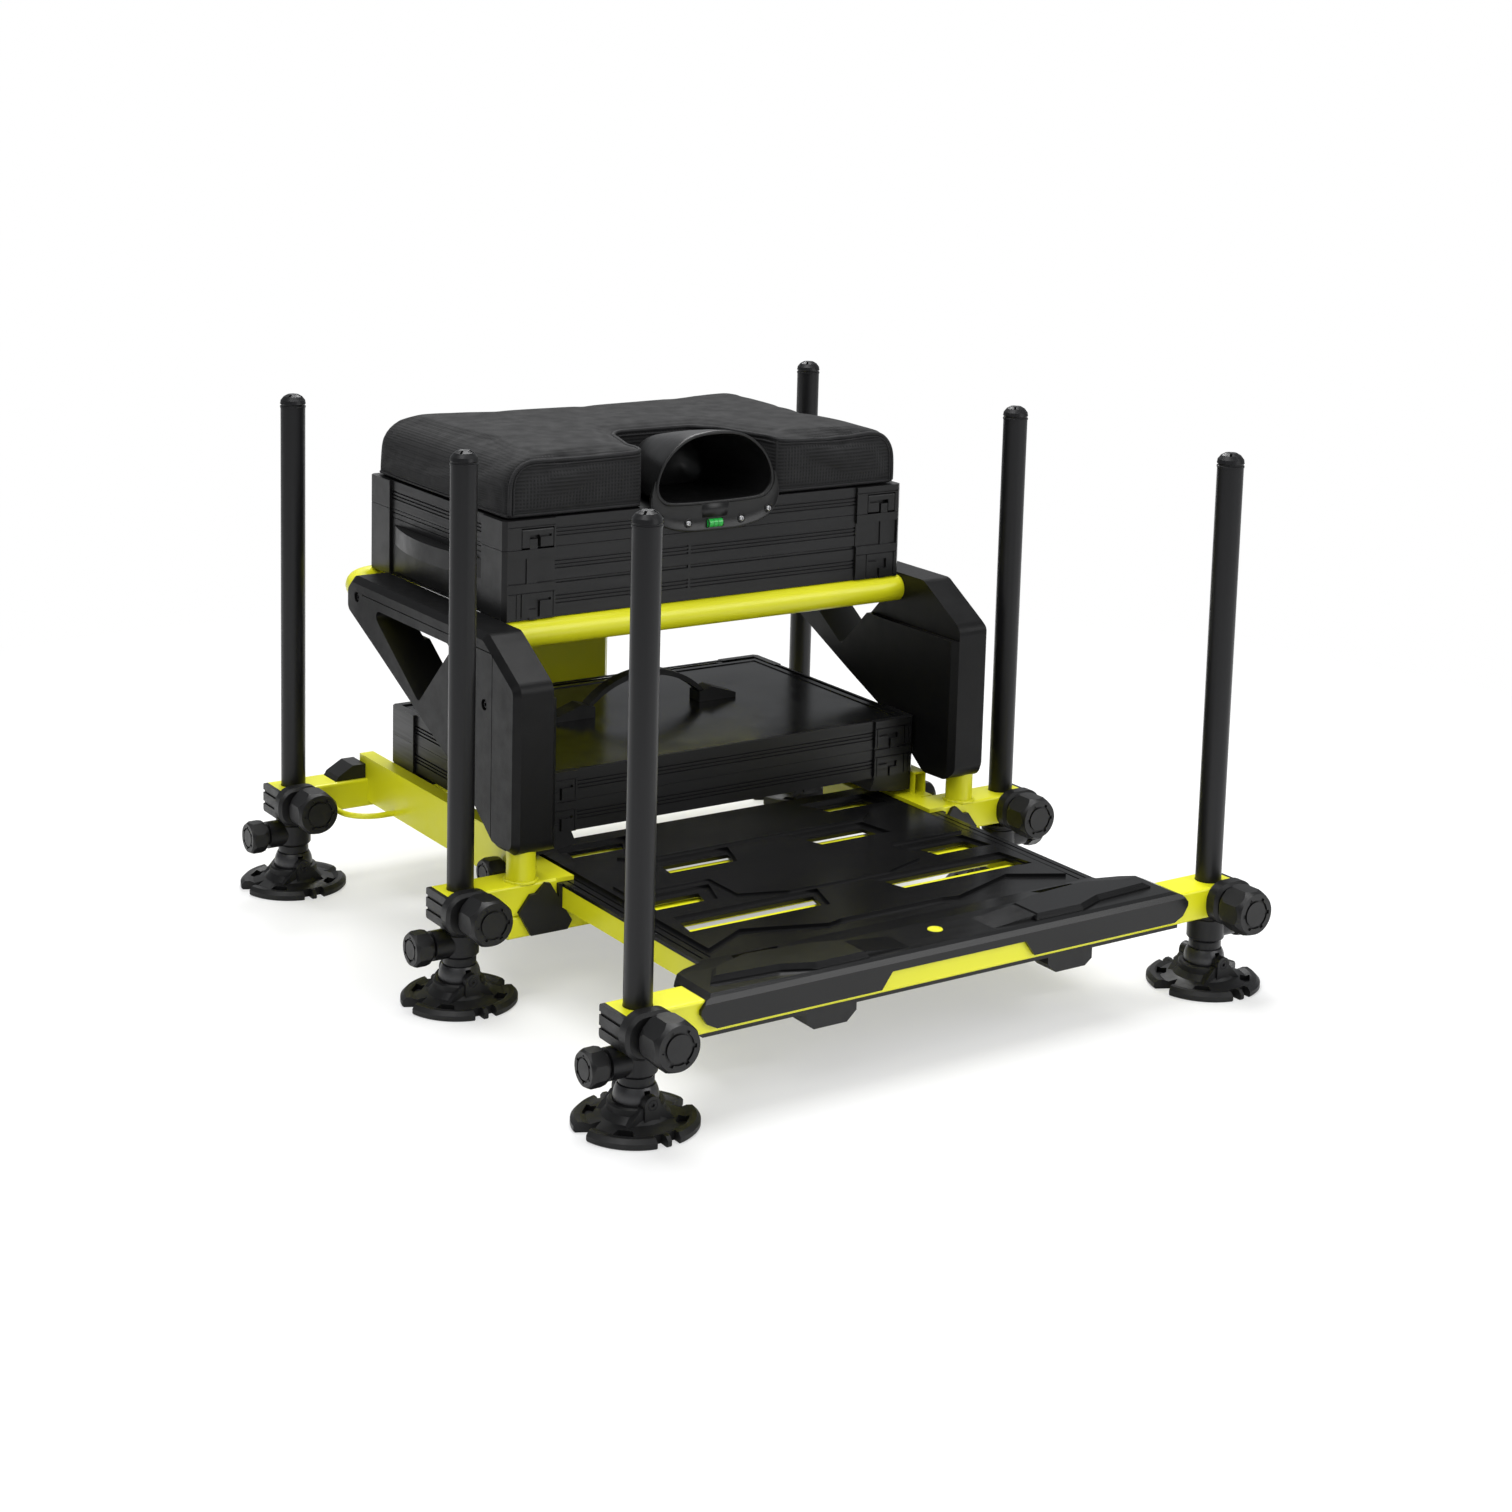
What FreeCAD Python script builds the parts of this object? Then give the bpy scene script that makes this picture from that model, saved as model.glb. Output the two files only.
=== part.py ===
import FreeCAD, Part
import math
import os

# Fishing seat box on six telescopic legs, millimetres, +Z up.
# The origin lies on the ground under the middle of the footprint; -Y is the footplate side.

V = FreeCAD.Vector

# Clearances
SLIDE_FIT = 0.1
STUD_FIT = 0.3
SEAT_GAP = 0.3
JOINT_GAP = 0.5

# Legs
LEG_R = 12.5
LEG_WALL = 1.9
LEG_X = 320.5
LEG_TOP = 519.5
ROW_FRONT_TO_MID = 316.5
ROW_MID_TO_REAR = 375.5
CAP_R = 13.0
CAP_HEIGHT = 13.5
CAP_SPIGOT = 14.0
CAP_NOTCH = 2.4

# Leg collar and its knob
COLLAR_BOTTOM = 38.0
COLLAR_TOP = 73.0
COLLAR_R = 18.0
COLLAR_LIP_R = 15.5
COLLAR_LIP_HEIGHT = 8.0
COLLAR_SEAT = 6.0
COLLAR_BOSS_R = 14.0
COLLAR_BOSS_REACH = 30.0
COLLAR_BOSS_Z = 58.0
STUD_R = 4.0
INNER_KNOB_R = 17.0
INNER_KNOB_DEPTH = 20.0

# Inner leg, ball and foot
INNER_LEG_WALL = 2.0
INNER_LEG_LENGTH = 350.0
BALL_R = 19.5
BALL_Z = 26.0
BALL_TOP_CUT = 10.8
BALL_BOTTOM_CUT = 13.0
NECK_R = 14.0
PIN_R = 2.5
PIN_HEAD_R = 4.3
PIN_HEAD_DEPTH = 2.0
FOOT_TILT = 18.0
PAD_R = 54.5
PAD_RIM = 9.0
PAD_DISH = 7.0
CUP_R = 24.5
CUP_TOP = 23.0
CUP_CLEARANCE = 0.6
EAR_THICKNESS = 7.0
EAR_HALF_WIDTH = 7.5

# Big clamp knob at each beam end
CLAMP_KNOB_R = 23.0
CLAMP_KNOB_DEPTH = 28.0
CLAMP_NECK = 4.0
CLAMP_BOSS_HALF = 20.5
CLAMP_BOSS_OUT = 30.0
CLAMP_BOSS_DEPTH = 13.0
KNOB_SIDES = 8

# Beams
BEAM_DEPTH = 40.0
BEAM_HEIGHT = 30.0
BEAM_WALL = 2.0
BEAM_CORNER = 3.0
BEAM_TOP = 108.5
BEAM_OVERHANG = 21.0
FOOT_BEAM_DROP = 5.0
END_CAP_THICKNESS = 4.0

# Main frame
RAIL_OUTER_X = 245.0
RAIL_WIDTH = 15.5
RAIL_TOP = 131.4
RAIL_HEIGHT = 47.0
RAIL_WALL = 2.0
RAIL_FRONT_STEP = 12.0
SHELF_INNER_X = 211.0
SHELF_THICKNESS = 4.0
LOWER_BEAM_HEIGHT = 22.0
LOWER_BEAM_HALF = 280.0
LOOP_ROD_R = 3.0
LOOP_REACH = 62.0
LOOP_SPREAD = 46.0
CORNER_BLOCK_RISE = 15.0
CORNER_BLOCK_LENGTH = 34.0

# Upper frame
TUBE_R = 14.0
TUBE_WALL = 2.0
CROSSBAR_R = 13.75
TUBE_Z = 319.2
UPRIGHT_GAP = 1.0
UPRIGHT_SHIFT = 5.5
UPRIGHT_BEND_Z = 268.0
BEND_RUN = 61.0
BEND_R = 35.0
CROSSBAR_BACK = 91.0
COLUMN_WIDTH = 104.0
COLUMN_DEPTH = 25.0
COLUMN_CHAMFER = 6.0

# Side covers
COVER_INNER_REACH = 28.0
COVER_ARM_GAP = 2.0
COVER_OUTER_REACH = 18.0
COVER_FRONT_REACH = 19.5
COVER_BOTTOM = 135.0
COVER_TOP_RISE = 2.6
COVER_SLOPE_Z = 297.0
COVER_SLOPE_RUN = 64.0
COVER_REAR_INSET = 33.0
COVER_CHAMFER = 6.0
COVER_CORNER = 14.0
COVER_INNER_BEVEL = 7.0
COVER_SEAM = 1.0
WINDOW_LIFT = 6.0
WINDOW_DEPTH = 72.0
WINDOW_CORNER = 6.0
SCREW_RECESS_R = 5.5
SCREW_RECESS_DEPTH = 4.0

# Upper stack
STACK_HALF = 236.0
STACK_FRONT_OVERLAP = 6.6
DEEP_HEIGHT = 68.9
SEAT_FRAME_HEIGHT = 28.6
CORNER_WIDTH = 57.0
CORNER_DEPTH = 46.0
BAND_INSET = 3.0
BAND_WALL = 3.0
CORNER_WALL = 8.0
BAND_GROOVE = 1.4
BAND_GROOVE_HALF = 1.0
BAND_GROOVE_PITCH = 3.6
BAND_JOINT_HALF = 1.8
PANEL = 3.0

# Drawer
DRAWER_LENGTH = 206.0
DRAWER_GAP = 1.0
DRAWER_WALL = 2.5
DRAWER_FRONT = 3.5
GRIP_LENGTH = 190.0
GRIP_HEIGHT = 19.0
GRIP_BOW = 16.0
GRIP_SKIN = 4.0
GRIP_DROP = 16.0

# Seat hinge and latches
HINGE_OUT = 6.0
HINGE_R = 5.0
HINGE_PIN_R = 2.5
KNUCKLE_WIDTH = 15.0
LATCH_WIDTH = 34.0
LATCH_THICKNESS = 5.0
LATCH_ABOVE = 17.5
LATCH_PIN_R = 1.3
TONGUE_WIDTH = 8.5
TONGUE_RISE = 10.0
CLIP_FROM_INNER_END = 20.0
CLIP_SHIFT = 11.0
CLIP_SLOT = 2.5
CLIP_DEPTH = 2.4
CLIP_LINE = 1.4

# Cushion and pole cup
CUSHION_HEIGHT = 63.0
CUSHION_INSET = 2.0
CUSHION_SEAM_R = 7.0
CUSHION_EDGE = 30.0
CHANNEL_HALF = 80.0
CHANNEL_CORNER = 24.0
CHANNEL_BACK = 112.0
CUP_HALF = 69.5
CUP_DEPTH = 96.0
CUP_WALL = 3.0
CUP_RISE = 71.5
CUP_FLANGE_DROP = 27.8
CUP_FLANGE_OUT = 7.5
CUP_PROUD = 5.0
VIAL_POCKET = 6.6
VIAL_R = 4.5
VIAL_LENGTH = 18.0

# Cassette
CASSETTE_CLEARANCE = 0.6
CASSETTE_BOTTOM = 131.9
TRAY_HEIGHT = 30.2
CASSETTE_FRONT_GAP = 12.8
CASSETTE_REAR_GAP = 22.0
TRAY_CORNER = 51.0
TRAY_FLOOR = 2.5
LID_THICKNESS = 3.5
LID_INSET = 9.0
LID_BARREL_R = 2.6
LID_PIN_R = 1.5
LID_BARREL_HALF = 170.0
LID_LUG = 6.0
SKID_HEIGHT = 4.2
FOOT_INNER_X = 176.0
FOOT_SLOPE = 5.0
HANDLE_SPAN = 172.0
HANDLE_RISE = 42.0
HANDLE_STRAP = 6.0
HANDLE_WIDTH = 14.0
HANDLE_MOUNT_LENGTH = 46.0
HANDLE_MOUNT_HEIGHT = 15.0

# Footplate
FOOT_RAIL_OUTER_X = 225.0
FOOT_RAIL_WIDTH = 25.0
FOOT_RAIL_HEIGHT = 20.0
FOOT_RAIL_WALL = 2.0
FOOT_RAIL_BOTTOM = 80.5
FOOT_RAIL_REACH = 470.0
CROSS_WIDTH = 30.0
CROSS_HEIGHT = 15.0
CROSS_POSITIONS = (128.0, 198.0, 276.0, 386.0)
DECK_PLATE = 3.4
DECK_RIB = 3.0
DECK_STEP = 1.8
DECK_REACH = 405.0
DECK_PLATEAU_HALF = 204.0
LIP_HALF = 273.0
LIP_SKIN = 4.0
LIP_BACK = 58.0
LIP_TOP_RISE = 3.2
LIP_SKIRT = 25.0
LIP_CENTRE_DROP = 10.0
LIP_CREST_RISE = 8.6
LIP_CREST_BEVEL = 4.0
DISC_R = 7.5
DISC_Y = 14.0
REST_STRIP = 3.8
REST_BLOCK_DROP = 15.7
REST_BLOCK_X = 108.0
REST_BLOCK_LENGTH = 53.0
REST_FRONT_SETBACK = 3.0

# Footplate lock knobs
LOCK_KNOB_R = 15.0
LOCK_KNOB_DEPTH = 18.0
LOCK_BACK = 55.0
LOCK_Z = 97.0

# Places that follow from the sizes above
BEAM_END = LEG_X + BEAM_OVERHANG
BEAM_BOTTOM = BEAM_TOP - BEAM_HEIGHT
FOOT_BEAM_TOP = BEAM_TOP - FOOT_BEAM_DROP
FOOT_BEAM_BOTTOM = FOOT_BEAM_TOP - BEAM_HEIGHT
HALF_BEAM = BEAM_DEPTH / 2
KNOB_REACH = HALF_BEAM + CLAMP_BOSS_DEPTH + 1.0 + CLAMP_NECK + CLAMP_KNOB_DEPTH
FRONT_Y = (KNOB_REACH - PAD_R - ROW_FRONT_TO_MID - ROW_MID_TO_REAR) / 2
MID_Y = FRONT_Y + ROW_FRONT_TO_MID
REAR_Y = MID_Y + ROW_MID_TO_REAR
INNER_LEG_R = LEG_R - LEG_WALL - SLIDE_FIT
CAP_BASE = LEG_TOP - CAP_HEIGHT
BALL_TOP = BALL_Z + BALL_TOP_CUT
UPRIGHT_X = RAIL_OUTER_X + UPRIGHT_GAP + TUBE_R
UPRIGHT_Y = MID_Y - UPRIGHT_SHIFT
RAIL_INNER_X = RAIL_OUTER_X - RAIL_WIDTH
RAIL_BOTTOM = RAIL_TOP - RAIL_HEIGHT
RAIL_FRONT = MID_Y + HALF_BEAM
RAIL_REAR = REAR_Y - HALF_BEAM
CROSSBAR_Y = UPRIGHT_Y + CROSSBAR_BACK
REAR_TUBE_Y = REAR_Y - 2.0
STACK_FRONT = CROSSBAR_Y - STACK_FRONT_OVERLAP
STACK_REAR = REAR_TUBE_Y - 2.2
STACK_BOTTOM = TUBE_Z + TUBE_R + SEAT_GAP
COVER_REAR_Y = REAR_TUBE_Y - COVER_REAR_INSET
SEAM_Z = STACK_BOTTOM + DEEP_HEIGHT
SEAT_BOTTOM = SEAM_Z + JOINT_GAP
SEAT_TOP = SEAT_BOTTOM + SEAT_FRAME_HEIGHT
HINGE_Y = STACK_REAR + HINGE_OUT
HINGE_Z = SEAM_Z + JOINT_GAP / 2
LATCH_PIVOT_Z = SEAT_BOTTOM + LATCH_ABOVE
CASSETTE_HALF = RAIL_INNER_X - CASSETTE_CLEARANCE
CASSETTE_FRONT = RAIL_FRONT + CASSETTE_FRONT_GAP
CASSETTE_REAR = RAIL_REAR - CASSETTE_REAR_GAP
CASSETTE_TOP = CASSETTE_BOTTOM + 2 * TRAY_HEIGHT + SEAT_GAP
LID_HINGE_Y = CASSETTE_REAR - LID_INSET
SKID_TOP = BEAM_TOP + SKID_HEIGHT
DECK_BOTTOM = FOOT_RAIL_BOTTOM + FOOT_RAIL_HEIGHT + SEAT_GAP
DECK_TOP = DECK_BOTTOM + DECK_PLATE
LIP_FRONT_Y = FRONT_Y - HALF_BEAM - LIP_SKIN
LOCK_Y = RAIL_FRONT + LOCK_BACK - HALF_BEAM


# Basic shapes

def block(x0, x1, y0, y1, z0, z1):
    low = V(min(x0, x1), min(y0, y1), min(z0, z1))
    return Part.makeBox(abs(x1 - x0), abs(y1 - y0), abs(z1 - z0), low)


def rod(radius, start, end):
    run = end - start
    return Part.makeCylinder(radius, run.Length, start, run)


def outline(points):
    return Part.Face(Part.makePolygon(points + [points[0]]))


def rounded_outline(points, radius):
    # A flat closed outline whose corners are tangent arcs
    corners = []
    count = len(points)
    for index, corner in enumerate(points):
        back = points[index - 1] - corner
        ahead = points[(index + 1) % count] - corner
        half = back.getAngle(ahead) / 2
        room = 0.45 * min(back.Length, ahead.Length)
        run = min(radius / math.tan(half), room)
        back.normalize()
        ahead.normalize()
        bisector = back + ahead
        bisector.normalize()
        arc_radius = run * math.tan(half)
        middle = corner + bisector * (arc_radius / math.sin(half) - arc_radius)
        corners.append((corner + back * run, middle, corner + ahead * run))
    edges = []
    for index, (start, middle, end) in enumerate(corners):
        edges.append(Part.Arc(start, middle, end).toShape())
        following = corners[(index + 1) % count][0]
        edges.append(Part.LineSegment(end, following).toShape())
    return Part.Face(Part.Wire(edges))


def prism_x(points, x0, x1, radius=0.0):
    corners = [V(x0, y, z) for y, z in points]
    face = rounded_outline(corners, radius) if radius else outline(corners)
    return face.extrude(V(x1 - x0, 0, 0))


def prism_y(points, y0, y1, radius=0.0):
    corners = [V(x, y0, z) for x, z in points]
    face = rounded_outline(corners, radius) if radius else outline(corners)
    return face.extrude(V(0, y1 - y0, 0))


def prism_z(points, z0, z1, radius=0.0):
    corners = [V(x, y, z0) for x, y in points]
    face = rounded_outline(corners, radius) if radius else outline(corners)
    return face.extrude(V(0, 0, z1 - z0))


def turned(profile):
    # A solid of revolution about Z from (radius, height) points
    face = outline([V(radius, 0, height) for radius, height in profile])
    return face.revolve(V(0, 0, 0), V(0, 0, 1), 360)


def fused(shapes):
    whole = shapes[0]
    if len(shapes) > 1:
        whole = whole.fuse(shapes[1:])
    return whole.removeSplitter()


def moved(shape, x=0.0, y=0.0, z=0.0):
    copy = shape.copy()
    copy.translate(V(x, y, z))
    return copy


def spun(shape, axis, degrees, centre=V(0, 0, 0)):
    copy = shape.copy()
    copy.rotate(centre, axis, degrees)
    return copy


def mirrored(shape):
    return shape.mirror(V(0, 0, 0), V(1, 0, 0))


def both_sides(shape):
    return [shape, mirrored(shape)]


def ring_points(count, radius, phase=0.0):
    angles = [2 * math.pi * step / count + phase for step in range(count)]
    return [(radius * math.cos(angle), radius * math.sin(angle)) for angle in angles]


def save(name, shapes):
    solids = []
    for shape in shapes:
        solids.extend(shape.Solids)
    Part.makeCompound(solids).exportStep("parts/" + name + ".step")


def box_tube_x(x0, x1, y0, y1, z0, z1, wall, corner):
    outer = prism_x([(y0, z0), (y1, z0), (y1, z1), (y0, z1)], x0, x1, corner)
    inner = block(x0, x1, y0 + wall, y1 - wall, z0 + wall, z1 - wall)
    return outer, inner


def box_tube_y(y0, y1, x0, x1, z0, z1, wall):
    return block(x0, x1, y0, y1, z0, z1), block(x0 + wall, x1 - wall, y0, y1, z0 + wall, z1 - wall)


# Legs

def leg_tube():
    bottom = COLLAR_BOTTOM + COLLAR_SEAT
    tube = rod(LEG_R, V(0, 0, bottom), V(0, 0, CAP_BASE))
    bore = rod(LEG_R - LEG_WALL, V(0, 0, bottom), V(0, 0, CAP_BASE))
    stud_hole = rod(STUD_R + STUD_FIT, V(0, 0, COLLAR_BOSS_Z), V(-COLLAR_BOSS_REACH, 0, COLLAR_BOSS_Z))
    return tube.cut([bore, stud_hole])


def leg_cap():
    spigot_r = LEG_R - LEG_WALL - SLIDE_FIT / 2
    low = CAP_BASE - CAP_SPIGOT
    shoulder = CAP_BASE + 4.0
    cap = turned([
        (0, low), (spigot_r, low), (spigot_r, CAP_BASE), (CAP_R, CAP_BASE), (CAP_R, CAP_BASE + 1.6),
        (CAP_R - 0.8, CAP_BASE + 2.2), (CAP_R - 0.8, CAP_BASE + 3.0), (CAP_R, shoulder),
        (CAP_R - 0.6, LEG_TOP - 6.0), (CAP_R - 3.6, LEG_TOP - 2.2), (CAP_R - 7.6, LEG_TOP), (0, LEG_TOP)])
    notches = []
    for turn in (0, 90):
        notch = block(-CAP_R, CAP_R, -CAP_NOTCH / 2, CAP_NOTCH / 2, LEG_TOP - 2.6, LEG_TOP)
        notches.append(spun(notch, V(0, 0, 1), turn + 45))
    core = rod(CAP_R - 8.4, V(0, 0, LEG_TOP - 3), V(0, 0, LEG_TOP))
    return cap.cut([notch.cut(core) for notch in notches])


def leg_collar():
    lip_top = COLLAR_BOTTOM + COLLAR_LIP_HEIGHT
    body = turned([
        (0, COLLAR_BOTTOM), (COLLAR_LIP_R, COLLAR_BOTTOM), (COLLAR_LIP_R, lip_top - 1.5),
        (COLLAR_R, lip_top + 1.5), (COLLAR_R, COLLAR_TOP - 6.0), (COLLAR_R - 1.0, COLLAR_TOP - 5.0),
        (COLLAR_R - 1.0, COLLAR_TOP - 4.0), (COLLAR_R, COLLAR_TOP - 3.0), (COLLAR_R, COLLAR_TOP),
        (0, COLLAR_TOP)])
    boss = rod(COLLAR_BOSS_R, V(0, 0, COLLAR_BOSS_Z), V(-COLLAR_BOSS_REACH, 0, COLLAR_BOSS_Z))
    tube_seat = rod(LEG_R, V(0, 0, COLLAR_BOTTOM + COLLAR_SEAT), V(0, 0, COLLAR_TOP))
    passage = rod(LEG_R - LEG_WALL, V(0, 0, COLLAR_BOTTOM), V(0, 0, COLLAR_BOTTOM + COLLAR_SEAT))
    stud_hole = rod(STUD_R + STUD_FIT, V(0, 0, COLLAR_BOSS_Z), V(-COLLAR_BOSS_REACH, 0, COLLAR_BOSS_Z))
    return fused([body, boss]).cut([tube_seat, passage, stud_hole])


def grip_knob(radius, depth, neck, stud_length):
    # A faceted knob along +Z from its neck at z=0, with its stud below
    base = neck
    top = neck + depth
    form = turned([
        (0, 0), (0.66 * radius, 0), (0.66 * radius, base), (0.94 * radius, base), (radius, base + 0.2 * depth),
        (radius, top - 0.25 * depth), (0.86 * radius, top), (0, top)])
    flats = prism_z(ring_points(KNOB_SIDES, radius, math.pi / KNOB_SIDES), 0, top)
    ring = rod(0.62 * radius, V(0, 0, top - 1.8), V(0, 0, top))
    disc = rod(0.52 * radius, V(0, 0, top - 1.8), V(0, 0, top))
    notch = block(0.56 * radius, 0.72 * radius, -0.08 * radius, 0.08 * radius, top - 1.8, top)
    notches = [spun(notch, V(0, 0, 1), 60 * step) for step in range(6)]
    stud = rod(STUD_R, V(0, 0, -stud_length), V(0, 0, 1))
    head = form.common(flats).cut([ring.cut(disc)] + notches)
    return fused([head, stud])


def clamp_knob(beam_top):
    boss_face = HALF_BEAM + CLAMP_BOSS_DEPTH
    stud_length = boss_face + 1.0 - LEG_R - STUD_FIT
    knob = grip_knob(CLAMP_KNOB_R, CLAMP_KNOB_DEPTH, CLAMP_NECK, stud_length)
    knob = spun(knob, V(1, 0, 0), 90)
    return moved(knob, 0, -boss_face - 1.0, beam_top - BEAM_HEIGHT / 2)


def inner_knob():
    stud_length = COLLAR_BOSS_REACH + 1.0 - INNER_LEG_R - STUD_FIT
    knob = grip_knob(INNER_KNOB_R, INNER_KNOB_DEPTH - CLAMP_NECK, CLAMP_NECK, stud_length)
    knob = spun(knob, V(0, 1, 0), -90)
    return moved(knob, -COLLAR_BOSS_REACH - 1.0, 0, COLLAR_BOSS_Z)


def inner_leg():
    top = BALL_TOP + INNER_LEG_LENGTH
    ball = Part.makeSphere(BALL_R, V(0, 0, BALL_Z))
    trim = block(-BALL_R, BALL_R, -BALL_R, BALL_R, BALL_Z - BALL_BOTTOM_CUT, BALL_TOP)
    neck = rod(NECK_R, V(0, 0, BALL_TOP - 1), V(0, 0, COLLAR_BOTTOM - SEAT_GAP))
    shaft = rod(INNER_LEG_R, V(0, 0, BALL_TOP - 1), V(0, 0, top))
    bore = rod(INNER_LEG_R - INNER_LEG_WALL, V(0, 0, COLLAR_BOTTOM + COLLAR_SEAT), V(0, 0, top))
    spread = math.radians(FOOT_TILT + 1.0)
    waist = PIN_R + STUD_FIT
    mouth = BALL_R * math.tan(spread) + waist / math.cos(spread)
    slot_outline = [
        (-BALL_R, BALL_Z - mouth), (0, BALL_Z - waist - 0.2), (BALL_R, BALL_Z - mouth),
        (BALL_R, BALL_Z + mouth), (0, BALL_Z + waist + 0.2), (-BALL_R, BALL_Z + mouth)]
    slot = prism_x(slot_outline, -waist, waist)
    return fused([ball.common(trim), neck, shaft]).cut([bore, slot])


def foot_pin():
    ear_face = BALL_R + CUP_CLEARANCE + EAR_THICKNESS
    shank = rod(PIN_R, V(0, -ear_face + PIN_HEAD_DEPTH, BALL_Z), V(0, ear_face - PIN_HEAD_DEPTH, BALL_Z))
    heads = []
    for side in (-1, 1):
        inner = side * (ear_face - PIN_HEAD_DEPTH)
        head = rod(PIN_HEAD_R, V(0, inner, BALL_Z), V(0, side * ear_face, BALL_Z))
        socket = prism_y(ring_points(6, 1.8), side * (ear_face - 1.2), side * ear_face)
        heads.append(head.cut(moved(socket, 0, 0, BALL_Z)))
    return fused([shank] + heads)


def foot_pad():
    ear_in = BALL_R + CUP_CLEARANCE
    ear_out = ear_in + EAR_THICKNESS
    body = turned([
        (0, 0), (PAD_R - 1.5, 0), (PAD_R, 1.5), (PAD_R, PAD_RIM - 3.5), (PAD_R - 3.5, PAD_RIM),
        (PAD_R - 8.0, PAD_RIM), (PAD_R - 13.0, PAD_DISH), (CUP_R + 5.0, PAD_DISH + 3.5), (CUP_R, PAD_DISH + 9.0),
        (CUP_R, CUP_TOP - 1.5), (CUP_R - 1.5, CUP_TOP), (0, CUP_TOP)])
    parts = [body]
    for side in (-1, 1):
        fairing = [(-25, PAD_DISH), (25, PAD_DISH), (EAR_HALF_WIDTH + 2, CUP_TOP + 1), (-EAR_HALF_WIDTH - 2, CUP_TOP + 1)]
        parts.append(prism_y(fairing, side * (ear_in - 4), side * (ear_out - 2)))
        parts.append(block(-EAR_HALF_WIDTH, EAR_HALF_WIDTH, side * ear_in, side * ear_out, PAD_DISH, BALL_Z))
        parts.append(rod(EAR_HALF_WIDTH, V(0, side * ear_in, BALL_Z), V(0, side * ear_out, BALL_Z)))
    cuts = [Part.makeSphere(BALL_R + CUP_CLEARANCE, V(0, 0, BALL_Z))]
    cuts.append(rod(PIN_R + STUD_FIT, V(0, -ear_out, BALL_Z), V(0, ear_out, BALL_Z)))
    for side in (-1, 1):
        face = side * ear_out
        cuts.append(rod(PIN_HEAD_R + STUD_FIT, V(0, face - side * (PIN_HEAD_DEPTH + 0.3), BALL_Z), V(0, face, BALL_Z)))
        for shift in (-6.5, 6.5):
            cuts.append(block(shift - 4.5, shift + 4.5, side * (PAD_R - 11), side * (PAD_R + 1), -1, PAD_RIM + 1))
        gap = [(side * 33, 0), (side * (PAD_R + 4), -13), (side * (PAD_R + 4), 13)]
        cuts.append(prism_z(gap, -1, PAD_RIM + 3))
    for turn in (45, 135, 225, 315):
        pocket = [(35, -6.5), (44.5, -10), (44.5, 10), (35, 6.5)]
        cuts.append(spun(prism_z(pocket, 3.0, PAD_RIM + 3, 2.0), V(0, 0, 1), turn))
    return fused(parts).cut(cuts)


def save_legs():
    rows = {"front": (FRONT_Y, FOOT_BEAM_TOP), "mid": (MID_Y, BEAM_TOP), "rear": (REAR_Y, BEAM_TOP)}
    tube_parts = [leg_tube(), leg_cap(), leg_collar()]
    shared = {"inner_leg": [inner_leg()], "inner_knob": [inner_knob()],
              "foot_pin": [foot_pin()], "foot_pad": [foot_pad()], "leg_tube": tube_parts}
    for row, (y, beam_top) in rows.items():
        pieces = dict(shared)
        pieces["clamp_knob"] = [clamp_knob(beam_top)]
        for piece, shapes in pieces.items():
            left = [moved(shape, -LEG_X, y) for shape in shapes]
            save(row + "_left_" + piece, left)
            save(row + "_right_" + piece, [mirrored(shape) for shape in left])


# Plastic fittings at a beam end, drawn for the left end with its leg on the Z axis

def end_fitting(beam_top):
    # Plug and rim at the end, running round the front corner into the clamp boss
    middle = beam_top - BEAM_HEIGHT / 2
    half_y = HALF_BEAM - BEAM_WALL - SLIDE_FIT
    half_z = BEAM_HEIGHT / 2 - BEAM_WALL - SLIDE_FIT
    plug = block(-BEAM_OVERHANG, LEG_R + 6, -half_y, half_y, middle - half_z, middle + half_z)
    face = -BEAM_OVERHANG - END_CAP_THICKNESS
    rim = prism_x([(-HALF_BEAM, middle - BEAM_HEIGHT / 2), (HALF_BEAM, middle - BEAM_HEIGHT / 2),
                   (HALF_BEAM, middle + BEAM_HEIGHT / 2), (-HALF_BEAM, middle + BEAM_HEIGHT / 2)],
                  -BEAM_OVERHANG, face, BEAM_CORNER)
    step = block(face, face + 1.6, -HALF_BEAM, HALF_BEAM, middle - 7, middle - 4)
    step_low = block(face, face + 1.6, -HALF_BEAM, HALF_BEAM, middle + 5, middle + 8)
    half = CLAMP_BOSS_HALF
    boss_face = HALF_BEAM + CLAMP_BOSS_DEPTH
    boss = prism_y([(-CLAMP_BOSS_OUT, middle - half), (half, middle - half), (half, middle + half),
                    (-CLAMP_BOSS_OUT, middle + half)], -HALF_BEAM, -boss_face, half - 2)
    front_rim = [edge for edge in boss.Edges if edge.BoundBox.YMax < 0.01 - boss_face]
    boss = boss.makeChamfer(3, front_rim)
    leg_bore = rod(LEG_R + SLIDE_FIT, V(0, 0, middle - 40), V(0, 0, middle + 40))
    stud_bore = rod(STUD_R + STUD_FIT, V(0, 0, middle), V(0, -60, middle))
    return fused([plug, rim.cut([step, step_low]), boss]).cut([leg_bore, stud_bore])


def end_fittings(y, beam_top):
    return both_sides(moved(end_fitting(beam_top), -LEG_X, y))


def leg_holes(y, beam_top):
    holes = []
    for side in (-1, 1):
        x = side * LEG_X
        middle = beam_top - BEAM_HEIGHT / 2
        holes.append(rod(LEG_R + JOINT_GAP, V(x, y, beam_top - BEAM_HEIGHT - 1), V(x, y, beam_top + 1)))
        holes.append(rod(STUD_R + STUD_FIT, V(x, y, middle), V(x, y - BEAM_DEPTH, middle)))
    return holes


# Main frame

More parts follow.
